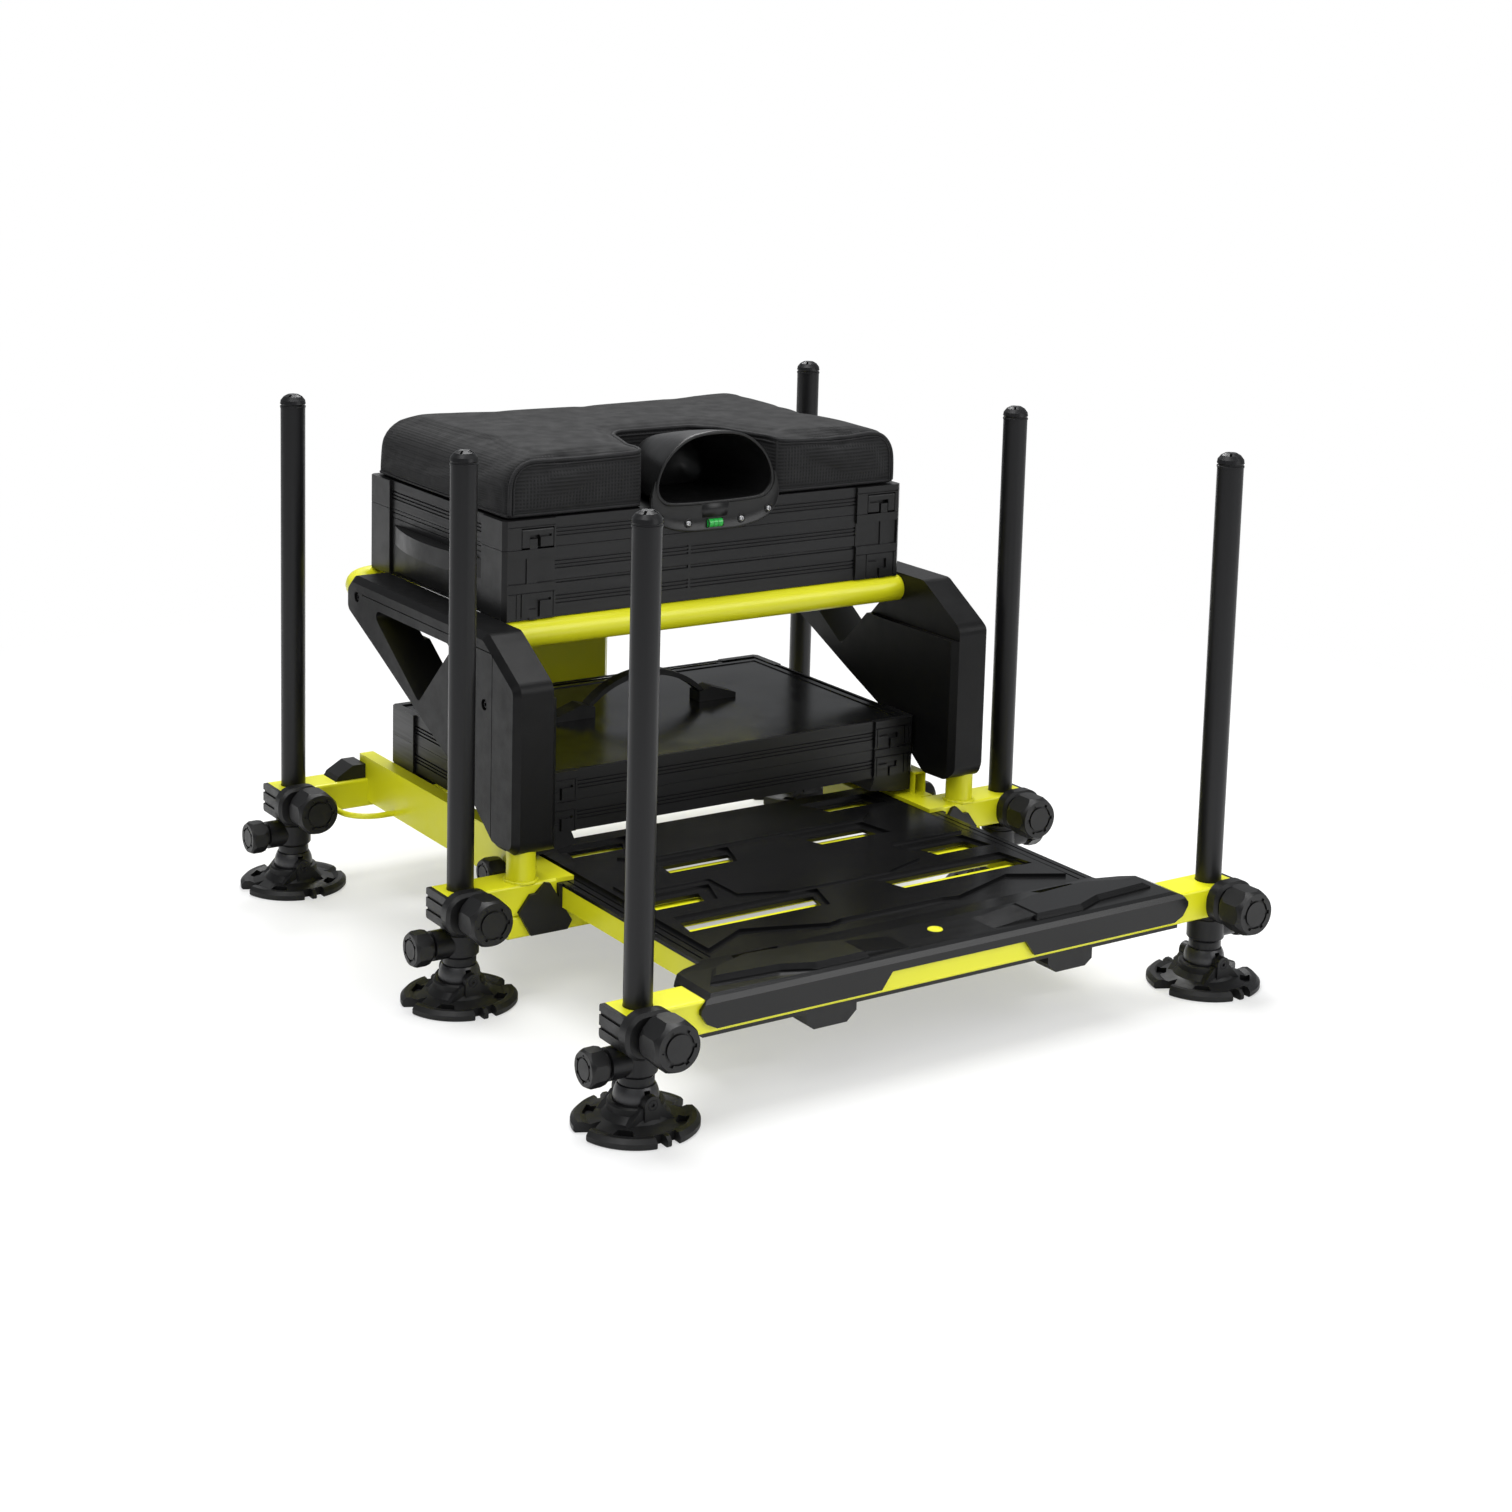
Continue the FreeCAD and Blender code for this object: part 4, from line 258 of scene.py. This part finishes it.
LIME = lime_paint()
TUBE = leg_finish()
PLASTIC = moulded("black_moulded_plastic", 0.006, 0.36, 0.50)
SATIN = moulded("black_satin_plastic", 0.0055, 0.30, 0.42, 900)
COVER = moulded("black_cover_plastic", 0.005, 0.34, 0.46, 900, 0.16)
RUBBER = moulded("black_rubber", 0.007, 0.42, 0.58, 500)
DECK = deck_finish()
BAND = band_finish()
BOARD = board_finish()
CLOTH = woven("black_seat_cloth", 0.0085, 0.0022, 0.0005)
PANEL = woven("black_panel_mesh", 0.012, 0.0036, 0.0011)
# The seam cloth is lighter than the seat cloth: a painted highlight along the piping, stitch and welt
SEAM_CLOTH_PAINTED_HIGHLIGHT = woven("black_piping_painted_highlight", 0.016, 0.0016, 0.0003)
STEEL = bright_steel()
DARK_STEEL = blackened_steel()
ALLOY = alloy()
VIAL = vial_with_painted_glow()

NODE_LOOKS = {
    "main_frame": LIME, "upper_frame": LIME, "footplate_frame": LIME,
    "side_cover_left": COVER, "side_cover_right": COVER,
    "frame_end_caps": PLASTIC, "slide_guides": PLASTIC,
    "deep_unit_body": BAND, "deep_unit_corners": SATIN, "side_drawer": SATIN,
    "seat_frame": BAND, "seat_corners": SATIN, "seat_latches": SATIN,
    "pole_cup": SATIN, "level_vial": VIAL,
    "cassette_lower_tray": BAND, "cassette_upper_tray": BAND,
    "cassette_lid": BOARD, "cassette_handle": RUBBER,
    "footplate_deck": DECK, "footplate_rests": PLASTIC,
    "footplate_end_caps": PLASTIC, "footplate_lock_knobs": PLASTIC,
}
LEG_LOOKS = {
    "leg_tube": TUBE, "clamp_knob": PLASTIC, "inner_leg": ALLOY,
    "inner_knob": PLASTIC, "foot_pin": DARK_STEEL, "foot_pad": RUBBER,
}


def dress(node, material):
    slots = NODES[node].data.materials
    slots.clear()
    slots.append(material)


for node, material in NODE_LOOKS.items():
    dress(node, material)
for leg in LEGS:
    for piece, material in LEG_LOOKS.items():
        dress(leg + "_" + piece, material)


# Mesh helpers

def new_piece(name, mesh, material, body, slot, smooth=True):
    obj = bpy.data.objects.new(name, mesh)
    scene.collection.objects.link(obj)
    mesh.materials.clear()
    mesh.materials.append(material)
    if smooth:
        for face in mesh.polygons:
            face.use_smooth = True
    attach(obj, body)
    return obj


def mesh_from(name, builder):
    mesh = bpy.data.meshes.new(name)
    work = bmesh.new()
    builder(work)
    work.to_mesh(mesh)
    work.free()
    return mesh


def tube_piece(name, points, radius, material, body, slot, closed=False):
    curve = bpy.data.curves.new(name, "CURVE")
    curve.dimensions = "3D"
    curve.bevel_depth = radius
    curve.bevel_resolution = 4
    spline = curve.splines.new("POLY")
    spline.points.add(len(points) - 1)
    for target, point in zip(spline.points, points):
        target.co = (*point, 1)
    spline.use_cyclic_u = closed
    carrier = bpy.data.objects.new(name + "_curve", curve)
    scene.collection.objects.link(carrier)
    depsgraph = bpy.context.evaluated_depsgraph_get()
    mesh = bpy.data.meshes.new_from_object(carrier.evaluated_get(depsgraph))
    bpy.data.objects.remove(carrier)
    return new_piece(name, mesh, material, body, slot)


def placed(centre, axis):
    # Turns local Z to the axis and moves the origin to the centre
    turn = Vector(axis).normalized().to_track_quat("Z", "Y").to_matrix().to_4x4()
    return Matrix.Translation(Vector(centre)) @ turn


def bridge(work, first, second, closed=True):
    # Row of faces between two rows of as many points
    count = len(first)
    for step in range(count if closed else count - 1):
        following = (step + 1) % count
        work.faces.new((first[step], first[following], second[following], second[step]))


def skin_over(work, rows, closed=True):
    # Skin through rows of places, which gives back the rows of points
    loops = [[work.verts.new(point) for point in row] for row in rows]
    for first, second in zip(loops, loops[1:]):
        bridge(work, first, second, closed)
    return loops


def lathe(work, place, profile, count):
    # Turned skin through (radius, height) pairs, with a flat face over the last one
    angles = [2 * math.pi * step / count for step in range(count)]
    rows = [[place @ Vector((radius * math.cos(angle), radius * math.sin(angle), height))
             for angle in angles] for radius, height in profile]
    loops = skin_over(work, rows)
    work.faces.new(loops[-1])
    return loops


def screw_head(work, centre, axis, radius, depth):
    """Domed head with a round socket."""
    profile = [(radius, 0), (radius, 0.45 * depth), (0.86 * radius, 0.8 * depth),
               (0.62 * radius, depth), (0.5 * radius, depth), (0.42 * radius, 0.35 * depth)]
    loops = lathe(work, placed(centre, axis), profile, 24)
    work.faces.new(list(reversed(loops[0])))


def ring(work, centre, axis, major, minor, ripple=0.0, count=60):
    """Ring of round section, with an optional wavy thickness like a weld bead."""
    place = placed(centre, axis)
    sides = 10
    loops = []
    for step in range(count):
        angle = 2 * math.pi * step / count
        thick = minor * (1 + ripple * math.sin(angle * 17) + 0.5 * ripple * math.sin(angle * 7 + 1))
        loop = []
        for side in range(sides):
            around = 2 * math.pi * side / sides
            reach = major + thick * math.cos(around)
            point = (reach * math.cos(angle), reach * math.sin(angle), thick * math.sin(around))
            loop.append(work.verts.new(place @ Vector(point)))
        loops.append(loop)
    for first, second in zip(loops, loops[1:] + loops[:1]):
        bridge(work, second, first)


def screws(name, places, body, material=STEEL):
    # Each place is a centre, an axis, a radius and a height
    def build(work):
        for centre, axis, radius, depth in places:
            screw_head(work, centre, axis, radius, depth)
    return new_piece(name, mesh_from(name, build), material, body, "steel", smooth=False)


# Seat cushion

CUSHION_LOW, CUSHION_HIGH = (Vector(corner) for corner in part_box("seat_cushion"))
CUSHION_ROLL = 0.030        # round of the upper side edges
CHANNEL_HALF = 0.080
CHANNEL_BACK = CUSHION_LOW.y + 0.112
CHANNEL_STRAIGHT = 0.026    # depth at which the channel starts to narrow
CHANNEL_BACK_HALF = CHANNEL_HALF - 0.036
START_INSET = 0.0035        # the cloth starts this much inside the CAD cushion
START_DROP = 0.004
VOXEL = 0.004
CLOTH_FRAMES = 20
SWELL_CAP = 0.004           # no point swells further than this
SKIN_ALLOWANCE = 0.002      # how far the skin may pass the CAD box


def cushion_start():
    """The CAD cushion's form, a little smaller, as one fine closed skin."""
    source = NODES["seat_cushion"].data.copy()
    obj = bpy.data.objects.new("seat_cushion_padded", source)
    scene.collection.objects.link(obj)
    centre = (CUSHION_LOW + CUSHION_HIGH) / 2
    size = CUSHION_HIGH - CUSHION_LOW
    for vert in source.vertices:
        for axis in (0, 1):
            factor = 1 - 2 * START_INSET / size[axis]
            vert.co[axis] = centre[axis] + (vert.co[axis] - centre[axis]) * factor
        if vert.co.z > CUSHION_LOW.z + 0.01:
            vert.co.z -= START_DROP
    remesh = obj.modifiers.new("skin", "REMESH")
    remesh.mode = "VOXEL"
    remesh.voxel_size = VOXEL
    remesh.use_smooth_shade = True
    return obj


def bake(obj):
    # The modifiers' result becomes the object's own mesh
    depsgraph = bpy.context.evaluated_depsgraph_get()
    mesh = bpy.data.meshes.new_from_object(obj.evaluated_get(depsgraph))
    obj.modifiers.clear()
    obj.data = mesh
    return obj


def inflate(obj):
    """Swell the skin as stuffed cloth held at its base, and give back where it started."""
    rest = [vert.co.copy() for vert in obj.data.vertices]
    cloth = obj.modifiers.new("stuffing", "CLOTH")
    settings = cloth.settings
    settings.quality = 5
    settings.mass = 0.3
    settings.tension_stiffness = 40
    settings.compression_stiffness = 40
    settings.shear_stiffness = 20
    settings.bending_stiffness = 2
    settings.use_pressure = True
    settings.uniform_pressure_force = 4
    settings.effector_weights.gravity = 0
    hold = obj.vertex_groups.new(name="base")
    base = [vert.index for vert in obj.data.vertices if vert.co.z < CUSHION_LOW.z + 0.006]
    hold.add(base, 1.0, "REPLACE")
    settings.vertex_group_mass = "base"
    for step in range(1, CLOTH_FRAMES + 1):
        scene.frame_set(step)
    bake(obj)
    scene.frame_set(1)
    return rest


def settle(obj, rest):
    """Hold each point near its start and within the CAD solid's box."""
    lowest = CUSHION_LOW - Vector((SKIN_ALLOWANCE, SKIN_ALLOWANCE, 0))
    highest = CUSHION_HIGH + Vector((SKIN_ALLOWANCE, SKIN_ALLOWANCE, SKIN_ALLOWANCE))
    for vert, start in zip(obj.data.vertices, rest):
        step = vert.co - start
        if step.length > SWELL_CAP:
            vert.co = start + step * (SWELL_CAP / step.length)
        for axis in range(3):
            vert.co[axis] = min(max(vert.co[axis], lowest[axis]), highest[axis])


def on_panel(face):
    # The front panels and the channel's walls have the coarser cloth
    place, normal = face.center, face.normal
    front = normal.y < -0.6 and place.y < CUSHION_LOW.y + 0.010
    by_channel = abs(place.x) < CHANNEL_HALF + 0.004 and place.y < CHANNEL_BACK + 0.004
    return front or (by_channel and abs(normal.z) < 0.6)


def seat_cushion():
    obj = bake(cushion_start())
    rest = inflate(obj)
    settle(obj, rest)
    smooth = obj.modifiers.new("smooth", "CORRECTIVE_SMOOTH")
    smooth.iterations = 2
    smooth.use_only_smooth = True
    finer = obj.modifiers.new("finer", "SUBSURF")
    finer.levels = 1
    finer.render_levels = 1
    bake(obj)
    obj.data.materials.clear()
    obj.data.materials.append(CLOTH)
    obj.data.materials.append(PANEL)
    for face in obj.data.polygons:
        face.use_smooth = True
        face.material_index = 1 if on_panel(face) else 0
    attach(obj, "seat")
    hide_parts("seat_cushion")
    return obj


CUSHION = seat_cushion()
SKIN = BVHTree.FromPolygons([vert.co for vert in CUSHION.data.vertices],
                            [face.vertices for face in CUSHION.data.polygons])


def mirrored(half):
    # The right half of a line, then its left half from the middle outwards
    return half + [(-x, y, z) for x, y, z in reversed(half)]


def stepped(corners, closed=False, step=0.004):
    # Points at about this step along straight runs between the corners
    corners = [Vector(corner) for corner in corners]
    points = []
    for start, end in zip(corners, corners[1:] + corners[:1] if closed else corners[1:]):
        count = max(1, round((end - start).length / step))
        points.extend(start.lerp(end, index / count) for index in range(count))
    return points if closed else points + [corners[-1]]


def on_skin(points, lift, closed=False):
    # The points brought to the cushion's skin, lifted off it and evened out
    found = [SKIN.find_nearest(point)[:2] for point in points]
    path = [place + normal * lift for place, normal in found]
    count = len(path)
    for _ in range(3):
        smoother = list(path)
        for index in range(0 if closed else 1, count if closed else count - 1):
            smoother[index] = (path[index - 1] + path[index] * 2 + path[(index + 1) % count]) / 4
        path = smoother
    return path


def rim_seam(inset):
    # Along the front panels' rounded top edge and round the top of the channel
    side, front, top = CUSHION_HIGH.x, CUSHION_LOW.y, CUSHION_HIGH.z
    bend = CUSHION_ROLL - inset
    half = [(side - inset, front, CUSHION_LOW.z + 0.003), (side - inset, front, top - CUSHION_ROLL)]
    for step in range(1, 9):
        angle = math.pi / 2 * step / 8
        half.append((side - CUSHION_ROLL + bend * math.cos(angle), front,
                     top - CUSHION_ROLL + bend * math.sin(angle)))
    level = top - inset
    half += [(CHANNEL_HALF + 0.004, front, level), (CHANNEL_HALF, front + 0.004, level),
             (CHANNEL_HALF, front + CHANNEL_STRAIGHT - 0.002, level),
             (CHANNEL_HALF - 0.018, CHANNEL_BACK - 0.022, level),
             (CHANNEL_BACK_HALF, CHANNEL_BACK, level)]
    return mirrored(half)


def base_outline():
    side, front, rear = CUSHION_HIGH.x, CUSHION_LOW.y, CUSHION_HIGH.y
    level = CUSHION_LOW.z + 0.0016
    return mirrored([(CHANNEL_BACK_HALF, CHANNEL_BACK, level),
                     (CHANNEL_HALF, front + CHANNEL_STRAIGHT, level),
                     (CHANNEL_HALF, front, level), (side, front, level), (side, rear, level)])


def cushion_seams():
    finish = (SEAM_CLOTH_PAINTED_HIGHLIGHT, "seat", "cushion_cloth")
    for name, inset, radius in (("cushion_piping", 0.0050, 0.0021),
                                ("cushion_top_stitch", 0.0104, 0.0009)):
        tube_piece(name, on_skin(stepped(rim_seam(inset)), 0.0007), radius, *finish)
    welt = on_skin(stepped(base_outline(), closed=True), 0.0002, closed=True)
    tube_piece("cushion_base_welt", welt, 0.0015, *finish, closed=True)


cushion_seams()


# Pole cup

CUP_LOW, CUP_HIGH = (Vector(corner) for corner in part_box("pole_cup"))
SEAT_BASE = CUSHION_LOW.z
CUP_FRONT = CUP_LOW.y + 0.0012
CUP_HALF = 0.0695           # half of the mouth's width
CUP_RISE = CUP_HIGH.z - SEAT_BASE
CUP_DROP = SEAT_BASE - CUP_LOW.z
CUP_WALL = 0.0032
RIM_ROUND = 0.0006
MOUTH_POINTS = 96
# Right half of the mouth from its foot to its top, as shares of its half width and its height
MOUTH_SHARES = [(0.60, 0.0), (0.92, 0.08), (1.0, 0.34), (0.80, 0.72), (0.36, 0.98)]
# Right half of the flange from the middle of its foot, as x and shares of the cup's drop
FLANGE_CORNERS = [(0.0, -1), (0.028, -1), (0.052, -0.84), (0.068, -0.58), (0.0765, -0.10),
                  (0.0760, 0.35), (0.0715, 0.95)]
# Rows of the flange, as shares of the way from its edge to the mouth and depths behind its front
FLANGE_ROWS = [(0, 0.0030), (0, 0.0004), (0.03, -0.0004), (0.09, -0.0004), (0.14, 0.0008),
               (0.5, 0.0011), (0.85, 0.0008), (1, 0.0)]


def evened(line, count):
    # As many points at even lengths along a closed line
    lengths = [0.0]
    for start, end in zip(line, line[1:] + line[:1]):
        lengths.append(lengths[-1] + (end - start).length)
    points = []
    place = 0
    for index in range(count):
        wanted = lengths[-1] * index / count
        while lengths[place + 1] < wanted:
            place += 1
        share = (wanted - lengths[place]) / (lengths[place + 1] - lengths[place])
        points.append(line[place].lerp(line[(place + 1) % len(line)], share))
    return points


def closed_curve(corners, count):
    # Even points on a smooth closed curve through the corners
    size = len(corners)
    curve = []
    for index in range(size):
        before, start, end, after = (Vector(corners[(index + shift) % size])
                                     for shift in (-1, 0, 1, 2))
        for step in range(16):
            t = step / 16
            curve.append(0.5 * (2 * start + (end - before) * t
                                + (2 * before - 5 * start + 4 * end - after) * t * t
                                + (3 * start - before - 3 * end + after) * t * t * t))
    return evened(curve, count)


def cup_mouth(half, rise, base, depth):
    # Arched outline of the cup, widest below its middle, at one depth
    right = [(x * half, depth, base + z * rise) for x, z in MOUTH_SHARES]
    return closed_curve(mirrored(right), MOUTH_POINTS)


def cup_section(share, wall):
    # The funnel's outline at a share of its depth, drawn in by the wall
    half = CUP_HALF * (1 - 0.36 * share ** 1.25)
    rise = CUP_RISE * (1 - 0.24 * share ** 1.4)
    depth = CUP_FRONT + RIM_ROUND + (CUP_HIGH.y - CUP_FRONT - 0.001) * share
    return cup_mouth(half - wall, rise - 2 * wall, SEAT_BASE + wall, depth)


def cup_shell(work):
    """Smooth moulded funnel: outside, rounded rim and inside."""
    rows = [cup_section(share, 0) for share in (1.0, 0.9, 0.72, 0.5, 0.3, 0.12, 0.03)]
    for inset, back in ((0.0, RIM_ROUND), (0.0007, 0.0), (CUP_WALL - 0.0007, 0.0),
                        (CUP_WALL, RIM_ROUND)):
        rows.append(cup_mouth(CUP_HALF - inset, CUP_RISE - 2 * inset, SEAT_BASE + inset,
                              CUP_FRONT + back))
    rows += [cup_section(share, CUP_WALL) for share in (0.03, 0.12, 0.3, 0.5, 0.72, 0.9, 0.97)]
    loops = skin_over(work, rows)
    work.faces.new(list(reversed(loops[0])))
    work.faces.new(loops[-1])
    bmesh.ops.recalc_face_normals(work, faces=work.faces)


def flange_edges():
    # The mouth's lower part and the flange's edge, each from left to right with as many points
    mouth = cup_mouth(CUP_HALF, CUP_RISE, SEAT_BASE, CUP_FRONT)
    inner = [point for point in mouth if point.z < SEAT_BASE + 0.42 * CUP_RISE]
    inner.sort(key=lambda point: math.atan2(point.x, SEAT_BASE + 0.5 * CUP_RISE - point.z))
    right = [(x, CUP_FRONT, SEAT_BASE + share * CUP_DROP) for x, share in FLANGE_CORNERS]
    left = [(-x, y, z) for x, y, z in reversed(right[1:])]
    fine = stepped(left + right, step=0.0005)
    last = len(inner) - 1
    outer = [fine[round(index * (len(fine) - 1) / last)] for index in range(last + 1)]
    for _ in range(2):
        between = [(before + point * 2 + after) / 4
                   for before, point, after in zip(outer, outer[1:], outer[2:])]
        outer = [outer[0], *between, outer[-1]]
    return inner, outer


def level_tab(work):
    # Plain tab over the level, with sloping sides
    low, high = SEAT_BASE - 0.0135, SEAT_BASE + 0.0005
    front, back = CUP_FRONT - 0.0008, CUP_FRONT + 0.0015
    foot = [(-0.015, back, low - 0.001), (0.015, back, low - 0.001),
            (0.017, back, high), (-0.017, back, high)]
    face = [(-0.0135, front, low), (0.0135, front, low),
            (0.0152, front, high - 0.001), (-0.0152, front, high - 0.001)]
    work.faces.new(skin_over(work, [foot, face])[-1])


def cup_flange(work):
    """Plate that hugs the lower half of the mouth, with a rolled edge and the tab."""
    inner, outer = flange_edges()
    rows = [[start.lerp(end, share) + Vector((0, depth, 0)) for start, end in zip(outer, inner)]
            for share, depth in FLANGE_ROWS]
    skin_over(work, rows, closed=False)
    level_tab(work)
    bmesh.ops.recalc_face_normals(work, faces=work.faces)


def pole_cup():
    finish = (SATIN, "seat", "black_plastic")
    shell = new_piece("pole_cup_shell", mesh_from("pole_cup_shell", cup_shell), *finish)
    new_piece("pole_cup_flange", mesh_from("pole_cup_flange", cup_flange), *finish)
    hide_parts("pole_cup")


# Fasteners, welds and small fittings

COVER_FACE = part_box("side_cover_right")[1].x - 0.0039
COVER_SCREWS = ((0.01275, 0.269), (0.28975, 0.3162))    # y and z on each cover
CUP_SCREWS = ((0.064, 0.011), (0.0315, 0.0185))         # x and drop below the seat's base
UPRIGHT_FOOT = (0.260, -0.02925, 0.1088)
VIAL_LOW, VIAL_HIGH = (Vector(corner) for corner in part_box("level_vial"))
VIAL_MIDDLE = (VIAL_LOW + VIAL_HIGH) / 2
DISC_CENTRE = (0, -0.32625, 0.1056)
# Radius and height from the disc's edge to its middle
DISC_PROFILE = [(0.0071, 0.0), (0.0071, 0.0011), (0.0066, 0.0016), (0.0055, 0.0016),
                (0.0050, 0.0007), (0.0034, 0.0007), (0.0030, 0.0014)]


def cup_screws():
    places = [((side * x, CUP_FRONT + 0.0010, SEAT_BASE - drop), (0, -1, 0), 0.0029, 0.0022)
              for x, drop in CUP_SCREWS for side in (-1, 1)]
    screws("cup_screws", places, "seat")

    def seats(work):
        for centre, axis, radius, _ in places:
            ring(work, centre, axis, radius + 0.0012, 0.0007, count=32)
    new_piece("cup_screw_seats", mesh_from("cup_screw_seats", seats), SATIN, "seat", "black_plastic")


def cover_screws():
    places = [((side * COVER_FACE, y, z), (side, 0, 0), 0.0042, 0.0026)
              for side in (-1, 1) for y, z in COVER_SCREWS]
    screws("cover_screws", places, "box_frame", DARK_STEEL)


def upright_welds():
    x, y, z = UPRIGHT_FOOT

    def beads(work):
        for side in (-1, 1):
            ring(work, (side * x, y, z), (0, 0, 1), 0.0148, 0.0020, ripple=0.14)
    new_piece("upright_weld_beads", mesh_from("upright_weld_beads", beads), LIME, "box_frame", "lime")


def vial_marks():
    # Two fine lines beside the bubble and a band at each end
    def lines(work):
        for offset, radius, thick in ((0.0026, 0.0045, 0.00022), (0.0085, 0.0044, 0.0006)):
            for side in (-1, 1):
                centre = (side * offset, VIAL_MIDDLE.y, VIAL_MIDDLE.z)
                ring(work, centre, (1, 0, 0), radius, thick, count=40)
    new_piece("vial_lines", mesh_from("vial_lines", lines), PLASTIC, "seat", "black_plastic")


def deck_disc():
    # Plain raised disc with a ring, in the front moulding
    def disc(work):
        lathe(work, Matrix.Translation(DISC_CENTRE), DISC_PROFILE, 48)
    new_piece("deck_disc", mesh_from("deck_disc", disc), LIME, "footplate", "lime", smooth=False)


pole_cup()
cup_screws()
cover_screws()
upright_welds()
vial_marks()
deck_disc()


# Camera, light and floor

VIEW_PLACE = (-1.4002, -2.09075, 0.9151)
VIEW_DIRECTION = (0.5531, 0.8190, -0.1524)
VIEW_ROLL = math.radians(1.5)
VIEW_SHIFT = -0.2251
LENS_MM, SENSOR_MM = 62.12, 36
FLOOR_HALF = 9
# Name, place, target, size and power of each soft light
LIGHTS = [
    ("key", (-1.8, -1.2, 2.9), (0, 0, 0.25), (2.0, 1.6), 34),
    ("fill", (1.5, -2.7, 1.9), (0, 0, 0.25), (2.3, 1.9), 46),
    ("top", (0.1, 0.5, 3.2), (0, 0, 0.2), (2.2, 1.8), 96),
    ("back", (1.2, 2.4, 2.8), (0, 0, 0.2), (1.4, 0.8), 55),
]


def photo_camera():
    forward = Vector(VIEW_DIRECTION).normalized()
    right = Vector((forward.y, -forward.x, 0)).normalized()
    up = right.cross(forward)
    right_rolled = right * math.cos(VIEW_ROLL) + up * math.sin(VIEW_ROLL)
    up_rolled = up * math.cos(VIEW_ROLL) - right * math.sin(VIEW_ROLL)
    turn = Matrix((right_rolled, up_rolled, -forward)).transposed().to_4x4()
    camera = bpy.data.objects.new("photo_camera", bpy.data.cameras.new("photo_camera"))
    scene.collection.objects.link(camera)
    camera.matrix_world = Matrix.Translation(VIEW_PLACE) @ turn
    camera.data.sensor_width = SENSOR_MM
    camera.data.lens = LENS_MM
    camera.data.shift_y = VIEW_SHIFT
    camera.data.clip_end = 30
    camera.data.dof.use_dof = False
    scene.camera = camera


def soft_light(name, place, target, size, power):
    light = bpy.data.lights.new(name, "AREA")
    light.shape = "RECTANGLE"
    light.size, light.size_y = size
    light.energy = power
    obj = bpy.data.objects.new(name, light)
    obj.location = place
    aim = Vector(target) - Vector(place)
    obj.rotation_euler = aim.to_track_quat("-Z", "Y").to_euler()
    scene.collection.objects.link(obj)


def studio():
    # The world lights weakly, and the camera sees it as white
    world = bpy.data.worlds.new("studio")
    scene.world = world
    world.use_nodes = True
    tree = world.node_tree
    background = tree.nodes["Background"]
    path = tree.nodes.new("ShaderNodeLightPath")
    mix = tree.nodes.new("ShaderNodeMixShader")
    white = tree.nodes.new("ShaderNodeBackground")
    white.inputs["Color"].default_value = (1, 1, 1, 1)
    white.inputs["Strength"].default_value = 1.0
    background.inputs["Color"].default_value = (0.9, 0.92, 0.95, 1)
    background.inputs["Strength"].default_value = 0.30
    tree.links.new(path.outputs["Is Camera Ray"], mix.inputs["Fac"])
    tree.links.new(background.outputs[0], mix.inputs[1])
    tree.links.new(white.outputs[0], mix.inputs[2])
    tree.links.new(mix.outputs[0], tree.nodes["World Output"].inputs["Surface"])
    for light in LIGHTS:
        soft_light(*light)


def pale_floor():
    # To the camera the floor brightens with distance and ends as white as the background
    pale = Shader("pale_floor", (0.88, 0.88, 0.88), 0.8)
    pale.tint(pale.noise(2, 2), 0.995, 1.0)
    pale.dim(0.1)
    length = pale.node("ShaderNodeVectorMath", operation="LENGTH")
    pale.link(pale.coords, length.inputs[0])
    far = pale.ranged(length.outputs["Value"], 0.55, 1.5, 0.45, 1.0)
    seen = pale.node("ShaderNodeLightPath").outputs["Is Camera Ray"]
    white = pale.node("ShaderNodeEmission")
    white.inputs["Color"].default_value = (1, 1, 1, 1)
    mix = pale.node("ShaderNodeMixShader")
    pale.link(pale.math("MULTIPLY", far, seen), mix.inputs["Fac"])
    pale.link(pale.surface.outputs[0], mix.inputs[1])
    pale.link(white.outputs[0], mix.inputs[2])
    pale.link(mix.outputs[0], pale.tree.nodes["Material Output"].inputs["Surface"])
    return pale.material


def floor():
    def build(work):
        bmesh.ops.create_grid(work, x_segments=1, y_segments=1, size=FLOOR_HALF)
    mesh = mesh_from("studio_floor", build)
    mesh.materials.append(pale_floor())
    obj = bpy.data.objects.new("studio_floor", mesh)
    scene.collection.objects.link(obj)


photo_camera()
studio()
floor()
scene.view_settings.view_transform = "Standard"
